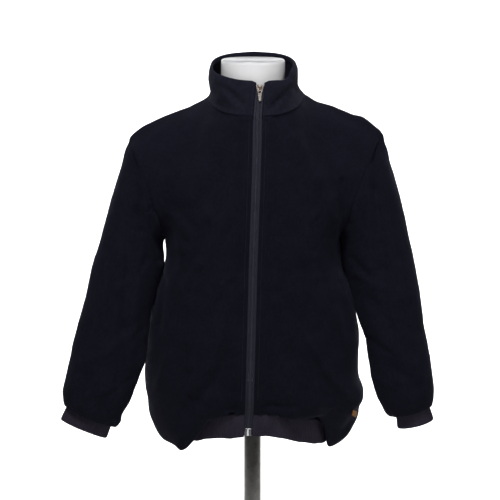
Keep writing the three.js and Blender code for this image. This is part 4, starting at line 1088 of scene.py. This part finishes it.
def waistband():
    fine = np.linspace(0, 1, 3001)
    line, _ = band_point(fine, np.array([0.5]), np.zeros((1, 3001)))
    length = along(line, 1)[0]
    steps = BAND_RIBS * RIB_STEPS
    share = np.interp(np.linspace(0, length[-1], steps + 1), length, fine)
    level = np.concatenate([[0, 0.02, 0.05], np.linspace(0.1, 0.9, 12), [0.95, 0.99, 1.05]])
    phase = np.linspace(0, BAND_RIBS, steps + 1)
    plain, _ = band_point(share, level, np.zeros((len(level), steps + 1)))
    wander = 0.7 * lattice_noise(plain, 40, 4.4) + 0.3 * lattice_noise(plain, 14, 6.1)
    low, high = np.clip(1 - level / 0.07, 0, 1)[:, None], np.clip((level - 0.93) / 0.07, 0, 1)[:, None]
    round_off = -low ** 2 - 0.6 * high ** 2
    edge = np.minimum(np.arange(steps + 1), steps - np.arange(steps + 1)) / RIB_STEPS
    turned = -0.9 * np.clip(1 - edge / 0.9, 0, 1) ** 2
    outer, _ = band_point(share, level, rib_profile(phase)[None] + wander + round_off + turned[None])
    inner, _ = band_point(share, level, -RIB_WALL + wander - 0.3 * rib_profile(phase)[None] - round_off * 0.5)
    droop = (0.9 * lattice_noise(plain[:1], 30, 9.0) + 0.5 * lattice_noise(plain[:1], 12, 9.9))[0]
    in_front = smooth(-plain[0, :, 1] / 30)
    droop -= (5.5 * smooth((plain[0, :, 0] - 46) / 30) + 4.2 * hump(plain[0, :, 0] + 28, 24)) * in_front
    for grid in (outer, inner):
        grid[..., 2] += droop[None] * (1 - smooth(level / 0.5))[:, None]
    return declare(wall("jacket_waistband", outer, inner, False, True, RIB), ["waistband"])


def cuff(side):
    steps = CUFF_RIBS * RIB_STEPS
    angle = np.arange(steps) / steps * 2 * np.pi
    level = np.concatenate([[0, 0.03, 0.08], np.linspace(0.15, 0.85, 10), [0.92, 0.97, 1.0]])[:, None]
    plain = oval(side, {name: lerp(v[1], v[0], level) for name, v in CUFFS[side].items()}, angle[None])
    lean = unit(points(-np.cos(angle) * side * 0.93, -np.sin(angle), -np.cos(angle) * 0.3))[None]
    phase = np.arange(steps) / RIB_STEPS
    wander = 0.55 * lattice_noise(plain, 26, 1.4) + 0.25 * lattice_noise(plain, 10, 2.5)
    round_off = -0.9 * np.clip(1 - level / 0.1, 0, 1) ** 2 - 0.4 * np.clip((level - 0.9) / 0.1, 0, 1) ** 2
    outer = plain + lean * (rib_profile(phase)[None] + wander + round_off)[..., None]
    inner = plain + lean * (wander - RIB_WALL - 0.3 * rib_profile(phase)[None] - 0.5 * round_off)[..., None]
    name = "cuff_" + side_name(side)
    obj = wall("jacket_" + name, outer, inner, True, side > 0, RIB)
    obj.data.flip_normals()
    return declare(obj, [name])


PIECES["waistband"] = waistband()
for side in (-1, 1):
    PIECES["cuff_" + side_name(side)] = cuff(side)


# Zip
def zip_frame(z):
    """Middle, way up and way out of the cloth at heights z."""
    z = np.asarray(z, float)
    x, y = zip_at(z)
    above, below = points(*zip_at(z + 2), z + 2), points(*zip_at(z - 2), z - 2)
    up = unit(above - below)
    out = unit(points(0 * z, -up[..., 2], up[..., 1]))
    return points(x, y, z), up, out


def on_zip(z, across, depth):
    middle, _, out = zip_frame(z)
    side = np.zeros_like(middle)
    side[..., 0] = across
    return middle + side - out * np.asarray(depth)[..., None]


def zip_tape(side):
    """A woven tape with a rounded cord beside the teeth."""
    low = ZIP_BOTTOM_Z + BOX_HEIGHT + 0.6
    neck = 1132.0
    z = np.concatenate([[ZIP_BOTTOM_Z, low], np.linspace(low + 0.6, neck, 240),
                        np.linspace(neck + 0.6, ZIP_TOP_Z, 26)])
    near = np.where(z <= low, BOX_WIDTH / 2 + 0.6, CHAIN_WIDTH / 2 + 0.15)
    far = np.where(z > neck, ZIP_OPENING - 0.6, TAPE_OUTER)
    slope = np.where(z > neck, 0.0, TAPE_SLOPE)
    share = np.array([0, 0.04, 0.09, 0.15, 0.21, 0.27, 0.34, 0.5, 0.75, 1.0])
    cord = 0.45 * hump(share - 0.09, 0.06)
    offset = near[:, None] + (far - near)[:, None] * share[None]
    depth = TAPE_FRONT + slope[:, None] * share[None]
    heights = np.repeat(z[:, None], len(share), axis=1)
    front = on_zip(heights, side * offset, depth - cord[None])
    behind = on_zip(heights, side * offset, depth + TAPE_THICKNESS)
    name = "zip_tape_" + side_name(side)
    return declare(wall("jacket_" + name, front, behind, False, side < 0, TAPE), [name])


def rounded_block(size):
    """Corners and faces of a block whose long edges are cut off."""
    sx, sy, sz = (v / 2 for v in size)
    c = min(sx, sy, sz) * 0.42
    ring = [(-sx + c, -sz), (sx - c, -sz), (sx, -sz + c), (sx, sz - c),
            (sx - c, sz), (-sx + c, sz), (-sx, sz - c), (-sx, -sz + c)]
    verts = [[x - math.copysign(shrink, x) * 0.8, y, z - math.copysign(shrink, z) * 0.8]
             for y, shrink in ((-sy, c), (-sy + c, 0), (sy - c, 0), (sy, c)) for x, z in ring]
    return np.array(verts), grid_faces(4, 8, 8).tolist() + [list(range(7, -1, -1)), list(range(24, 32))]


def place_blocks(verts, faces, middles, rights, ups, outs):
    """Copies of a block along the zip, as one list of vertices and faces."""
    return join([(middle + verts[:, :1] * right + verts[:, 1:2] * out + verts[:, 2:3] * up, faces)
                 for middle, right, up, out in zip(middles, rights, ups, outs)])


def zip_teeth():
    """Interlocking teeth from the box to the slider."""
    low = ZIP_BOTTOM_Z + BOX_HEIGHT + 0.9
    top = SLIDER_Z - (SLIDER_LENGTH / 2 + 0.5) * 0.94 - 1.0
    count = int((top - low) / (TOOTH_PITCH / 2))
    z = np.linspace(low, top, count)
    side = np.where(np.arange(count) % 2 == 0, -1.0, 1.0)
    middle, up, out = zip_frame(z)
    right = np.zeros_like(middle)
    right[:, 0] = 1
    place = on_zip(z, side * TOOTH_OFFSET, CHAIN_MIDDLE)
    parts = place_blocks(*rounded_block((3.7, CHAIN_DEPTH, 1.12)), place, right, up, out)
    declare(make_object("jacket_zip_teeth", *parts, TEETH), ["zip_chain"])
    cord_z = np.repeat(z[::6, None], 4, axis=1)
    front, back = (on_zip(cord_z, np.array([[-2.9, -0.4, 0.4, 2.9]]), CHAIN_MIDDLE + depth)
                   for depth in (-0.35, 0.45))
    declare(wall("jacket_zip_cord", front, back, False, False, TAPE), ["zip_chain"])


def between(x, places, values):
    """Linear reading of points along a line."""
    return np.stack([np.interp(x, places, values[..., k]) for k in range(3)], -1)


def stitches():
    """Rows of thread along both edges of the zip."""
    z = np.arange(676.0, 1128.0, STITCH_PITCH)
    block = rounded_block((0.55, 0.45, 2.5))
    rows = {}
    for name in ("front_left", "front_right"):
        outer, _, normal, _, _ = CLOTH[name]
        across = along(outer, 1)
        line, vectors = (np.array([between(STITCH_INSET, a, row) for a, row in zip(across, grid)])
                         for grid in (outer, normal))
        rising = slice(LOW_ROWS.searchsorted(ROLL_ROW), None)
        heights = line[rising, 2]
        place = between(z, heights, line[rising])
        out = unit(between(z, heights, unit(vectors)[rising]))
        up = unit(np.gradient(place, axis=0))
        parts = place_blocks(*block, place + out * 0.05, unit(np.cross(up, out)), up, out)
        rows[name] = declare(make_object("jacket_stitches_" + name, *parts, THREAD), [])
    return rows


for side in (-1, 1):
    PIECES["zip_tape_" + side_name(side)] = zip_tape(side)
zip_teeth()
STITCHES = stitches()


# Hard pieces and the tab: the solids' own forms with rounded edges
def rounded_copy(node, name, width, segments, material):
    """A copy of a solid's own mesh with rounded edges."""
    source = bpy.data.objects[node]
    mesh = source.data.copy()
    mesh.materials.clear()
    mesh.materials.append(material)
    obj = add_object(name, mesh)
    obj.matrix_world = source.matrix_world.copy()
    obj.modifiers.new("weld", "WELD").merge_threshold = 0.00001
    bevelled(obj, width, segments, 35)
    mesh.polygons.foreach_set("use_smooth", np.ones(len(mesh.polygons), bool))
    return declare(obj, [node])


def plate(outlines, low, high, round_edge=0.18):
    """Vertices and faces of a flat plate with rounded edges; outlines after the first are holes."""
    curve = bpy.data.curves.new("plate", "CURVE")
    curve.dimensions = "2D"
    curve.fill_mode = "BOTH"
    curve.extrude = (high - low) / 2 - round_edge
    curve.bevel_depth = round_edge
    curve.bevel_resolution = 2
    curve.offset = -round_edge
    for outline in outlines:
        spline = curve.splines.new("POLY")
        spline.points.add(len(outline) - 1)
        spline.points.foreach_set("co", np.array([(x, y, 0, 1) for x, y in outline], float).ravel())
        spline.use_cyclic_u = True
    obj = add_object("plate", curve)
    mesh = bpy.data.meshes.new_from_object(obj.evaluated_get(bpy.context.evaluated_depsgraph_get()))
    verts = np.array([v.co[:] for v in mesh.vertices])
    verts[:, 2] += (low + high) / 2
    faces = [list(p.vertices) for p in mesh.polygons]
    bpy.data.objects.remove(obj)
    bpy.data.curves.remove(curve)
    bpy.data.meshes.remove(mesh)
    return verts, faces


def rounded(outline, radius, steps=4):
    """An outline with its corners rounded."""
    result = []
    count = len(outline)
    for k, corner in enumerate(outline):
        corner = np.array(corner, float)
        before, after = np.array(outline[k - 1], float), np.array(outline[(k + 1) % count], float)
        a, b = before - corner, after - corner
        r = min(radius, np.linalg.norm(a) * 0.45, np.linalg.norm(b) * 0.45)
        start, end = corner + a / np.linalg.norm(a) * r, corner + b / np.linalg.norm(b) * r
        for t in np.linspace(0, 1, steps + 1):
            result.append(tuple((1 - t) ** 2 * start + 2 * t * (1 - t) * corner + t * t * end))
    return result


def placed_on_zip(verts, z, lift):
    """Turns (across, up, out) positions into the jacket's frame at height z of the zip."""
    middle, up, out = (v[0] for v in zip_frame(np.array([z])))
    rise = unit(np.array([0, up[1], up[2]]))
    across = np.array([1.0, 0, 0])
    return middle + out * lift + verts[:, :1] * across + verts[:, 1:2] * rise + verts[:, 2:3] * out


def zip_hardware(name, parts, material, node, body, z=SLIDER_Z):
    verts, faces = join(parts)
    obj = make_object(name, placed_on_zip(verts, z, -CHAIN_MIDDLE), faces, material)
    obj.modifiers.new("edges", "EDGE_SPLIT").split_angle = math.radians(38)
    declare(obj, [node], body)


def mirrored(half):
    """An outline from its right half, listed from the top down."""
    return [(-half[0][0], half[0][1]), *half, *[(-x, y) for x, y in half[:0:-1]]]


def slider_outline(grow):
    """The slider's face: two shoulders with a notch above, narrow below."""
    half = [(5.6, 10.4), (5.3, 6.0), (3.7, -1.2), (2.5, -6.1)]
    right = [(x + grow, y + (grow if y > 0 else -grow)) for x, y in half]
    left = [(-x, y) for x, y in reversed(right)]
    top = 10.6 + grow
    return rounded([(2.4 - grow, top), *right, *left, (grow - 2.4, top), (0, 6.4 + grow)], 0.9)


def slider_parts():
    face, inside = 2.85, 1.65
    rim = [slider_outline(0.0), slider_outline(-1.5)]
    post = rounded([(-1.4, 0.6), (1.4, 0.6), (1.9, 3.6), (0, 4.6), (-1.9, 3.6)], 0.5)
    return [
        plate(rim, face - 0.5, face + 0.2, 0.2),
        plate([slider_outline(-0.02)], -face, -inside),
        plate([post], -inside - 0.1, inside + 0.1, 0.05),
    ]


def pull_parts():
    """The pull: a bar through the crown, a window, and a tongue that narrows to a round end."""
    outline = rounded(mirrored([(2.5, 0.6), (2.9, -1.6), (2.5, -7), (1.9, -14.4), (1.1, -17)]), 1.2)
    window = rounded(mirrored([(1.75, -0.5), (1.7, -4.7)]), 0.5)
    dent = rounded(mirrored([(1.3, -6.2), (0.75, -13.6)]), 0.8)
    return [plate([outline, window, dent], PULL_MIDDLE - 0.6, PULL_MIDDLE + 0.6, 0.22),
            plate([dent], PULL_MIDDLE - 0.25, PULL_MIDDLE + 0.25, 0.05)]


def pin_part():
    """The bright pin in the bottom box."""
    return plate([rounded([(-1.9, -5.6), (0.7, -5.6), (0.7, 5.4), (-1.9, 5.4)], 1.2)], 1.9, 2.75, 0.38)


recess = plate([slider_outline(-0.1)], 1.65, 2.5)
zip_hardware("zip_slider_recess", [recess], SLIDER_DARK, "zip_slider", "jacket_and_form")
zip_hardware("zip_slider_body", slider_parts(), SLIDER, "zip_slider", "jacket_and_form")
zip_hardware("zip_pull_tab", pull_parts(), SLIDER, "zip_pull", "pull_tab")
rounded_copy("zip_crown", "zip_slider_crown", 0.35, 3, SLIDER)
rounded_copy("zip_box", "zip_bottom_box", 0.7, 3, BOX)
zip_hardware("zip_bottom_pin", [pin_part()], STEEL, "zip_box", "jacket_and_form",
             ZIP_BOTTOM_Z + BOX_HEIGHT / 2)
PIECES["side_tab"] = rounded_copy("side_tab", "side_tab_loop", 0.35, 2, TAB)
PIECES["side_tab"].location += Vector((0.0012, -0.0002, -0.0022))


# Dress form and stand
def lofted(name, sections, rows, around, power, node):
    """A piece of the form through rounded sections."""
    at = at_row(sections, np.linspace(0, len(sections["z"]) - 1, rows)[:, None])
    angle = (np.arange(around) / around * 2 * np.pi)[None, :]
    sine, cosine = np.sin(angle), np.cos(angle)
    x = np.sign(sine) * np.abs(sine) ** (2 / power)
    y = -np.sign(cosine) * np.abs(cosine) ** (2 / power)
    front, back = at["frontY"], at["backY"]
    grid = points(at["middle"] + at["half"] * x, (front + back) / 2 + (back - front) / 2 * y, at["z"])
    ends = [grid[k].mean(axis=0) for k in (0, -1)]
    verts = np.concatenate([grid.reshape(-1, 3), ends])
    declare(make_object(name, verts, tube_faces(rows, around), FORM), [node])


def turned(name, profile, node, lift=0.0, around=128):
    """A turned piece from (radius, height) points; both ends lie on the axis."""
    angle = np.arange(around) / around * 2 * np.pi
    rings = [points(r * np.sin(angle), -r * np.cos(angle), z + lift) for r, z in profile[1:-1]]
    ends = [[0, 0, profile[0][1] + lift], [0, 0, profile[-1][1] + lift]]
    verts = np.concatenate([*rings, ends])
    obj = make_object(name, verts, tube_faces(len(rings), around), SHADED_CHROME)
    bevelled(obj, 0.6, 2, 40)
    declare(obj, [node])


lofted("form_body", FORM_SECTIONS, 150, 144, 2.2, "form_torso")
lofted("form_neck_block", NECK_SECTIONS, 60, 128, 2.0, "form_neck")
POLE_LOW = BASE_HEIGHT + STAND_GAP + SOCKET_HEIGHT + STAND_GAP
POLE_HIGH = FORM_BOTTOM_Z - STAND_GAP
turned("stand_pole_tube", [(0, POLE_LOW), (POLE_RADIUS, POLE_LOW), (POLE_RADIUS, POLE_HIGH), (0, POLE_HIGH)],
       "stand_pole")
turned("stand_socket_ring", [(0, 0), (24, 0), (24, 16), (20, 20), (17, SOCKET_HEIGHT), (0, SOCKET_HEIGHT)],
       "stand_socket", BASE_HEIGHT + STAND_GAP)
turned("stand_base_disc", [
    (0, 0), (BASE_RADIUS - 2, 0), (BASE_RADIUS, 2), (BASE_RADIUS, 6), (BASE_RADIUS - 3, 9),
    (60, BASE_HEIGHT - 1), (26, BASE_HEIGHT), (0, BASE_HEIGHT)], "stand_base", around=192)


# Stage: a pale floor that sweeps up behind, soft lights and the photograph's camera, in metres
PHOTO_PIXELS = 500
FOCAL_PIXELS = 1899
SENSOR = 36
CAMERA_PLACE = (-0.004, -3.0, 1.456)
CAMERA_TILT = 79.7


def stage():
    half, back, bend, top = 12.0, 4.4, 1.6, 7.0
    profile = [(-half, 0.0), (back, 0.0)]
    for angle in np.linspace(0.1, math.pi / 2, 14):
        profile.append((back + bend * math.sin(angle), bend - bend * math.cos(angle)))
    profile.append((back + bend, top))
    verts = [(x * 1000, y * 1000, z * 1000 - 0.5) for y, z in profile for x in (-half, half)]
    faces = [[2 * i, 2 * i + 1, 2 * i + 3, 2 * i + 2] for i in range(len(profile) - 1)]
    make_object("floor", verts, faces, FLOOR)


def area_light(name, place, target, size, power):
    data = bpy.data.lights.new(name, "AREA")
    data.shape = "RECTANGLE"
    data.size, data.size_y = size
    data.energy = power
    light = add_object(name, data)
    light.location = place
    light.rotation_mode = "QUATERNION"
    light.rotation_quaternion = (Vector(target) - Vector(place)).to_track_quat("-Z", "Y")


def lights():
    world = bpy.data.worlds.new("studio")
    world.use_nodes = True
    background = world.node_tree.nodes["Background"]
    background.inputs["Color"].default_value = (1, 1, 1, 1)
    background.inputs["Strength"].default_value = 0.24
    bpy.context.scene.world = world
    area_light("key", (-0.3, -1.25, 3.4), (0, 0, 0.95), (0.9, 0.9), 150)
    area_light("fill", (2.0, -2.3, 2.3), (0, 0, 0.9), (1.2, 1.2), 42)
    area_light("back_wall", (0, 3.2, 3.8), (0, 4.3, 0.2), (6.0, 2.5), 420)


def camera():
    data = bpy.data.cameras.new("camera")
    data.sensor_width = SENSOR
    data.lens = FOCAL_PIXELS / PHOTO_PIXELS * SENSOR
    data.clip_start, data.clip_end = 0.1, 60
    cam = add_object("camera", data)
    cam.location = CAMERA_PLACE
    cam.rotation_euler = (math.radians(CAMERA_TILT), 0, 0)
    bpy.context.scene.camera = cam


stage()
lights()
camera()
bpy.context.scene.view_settings.view_transform = "Standard"

bpy.context.view_layer.update()
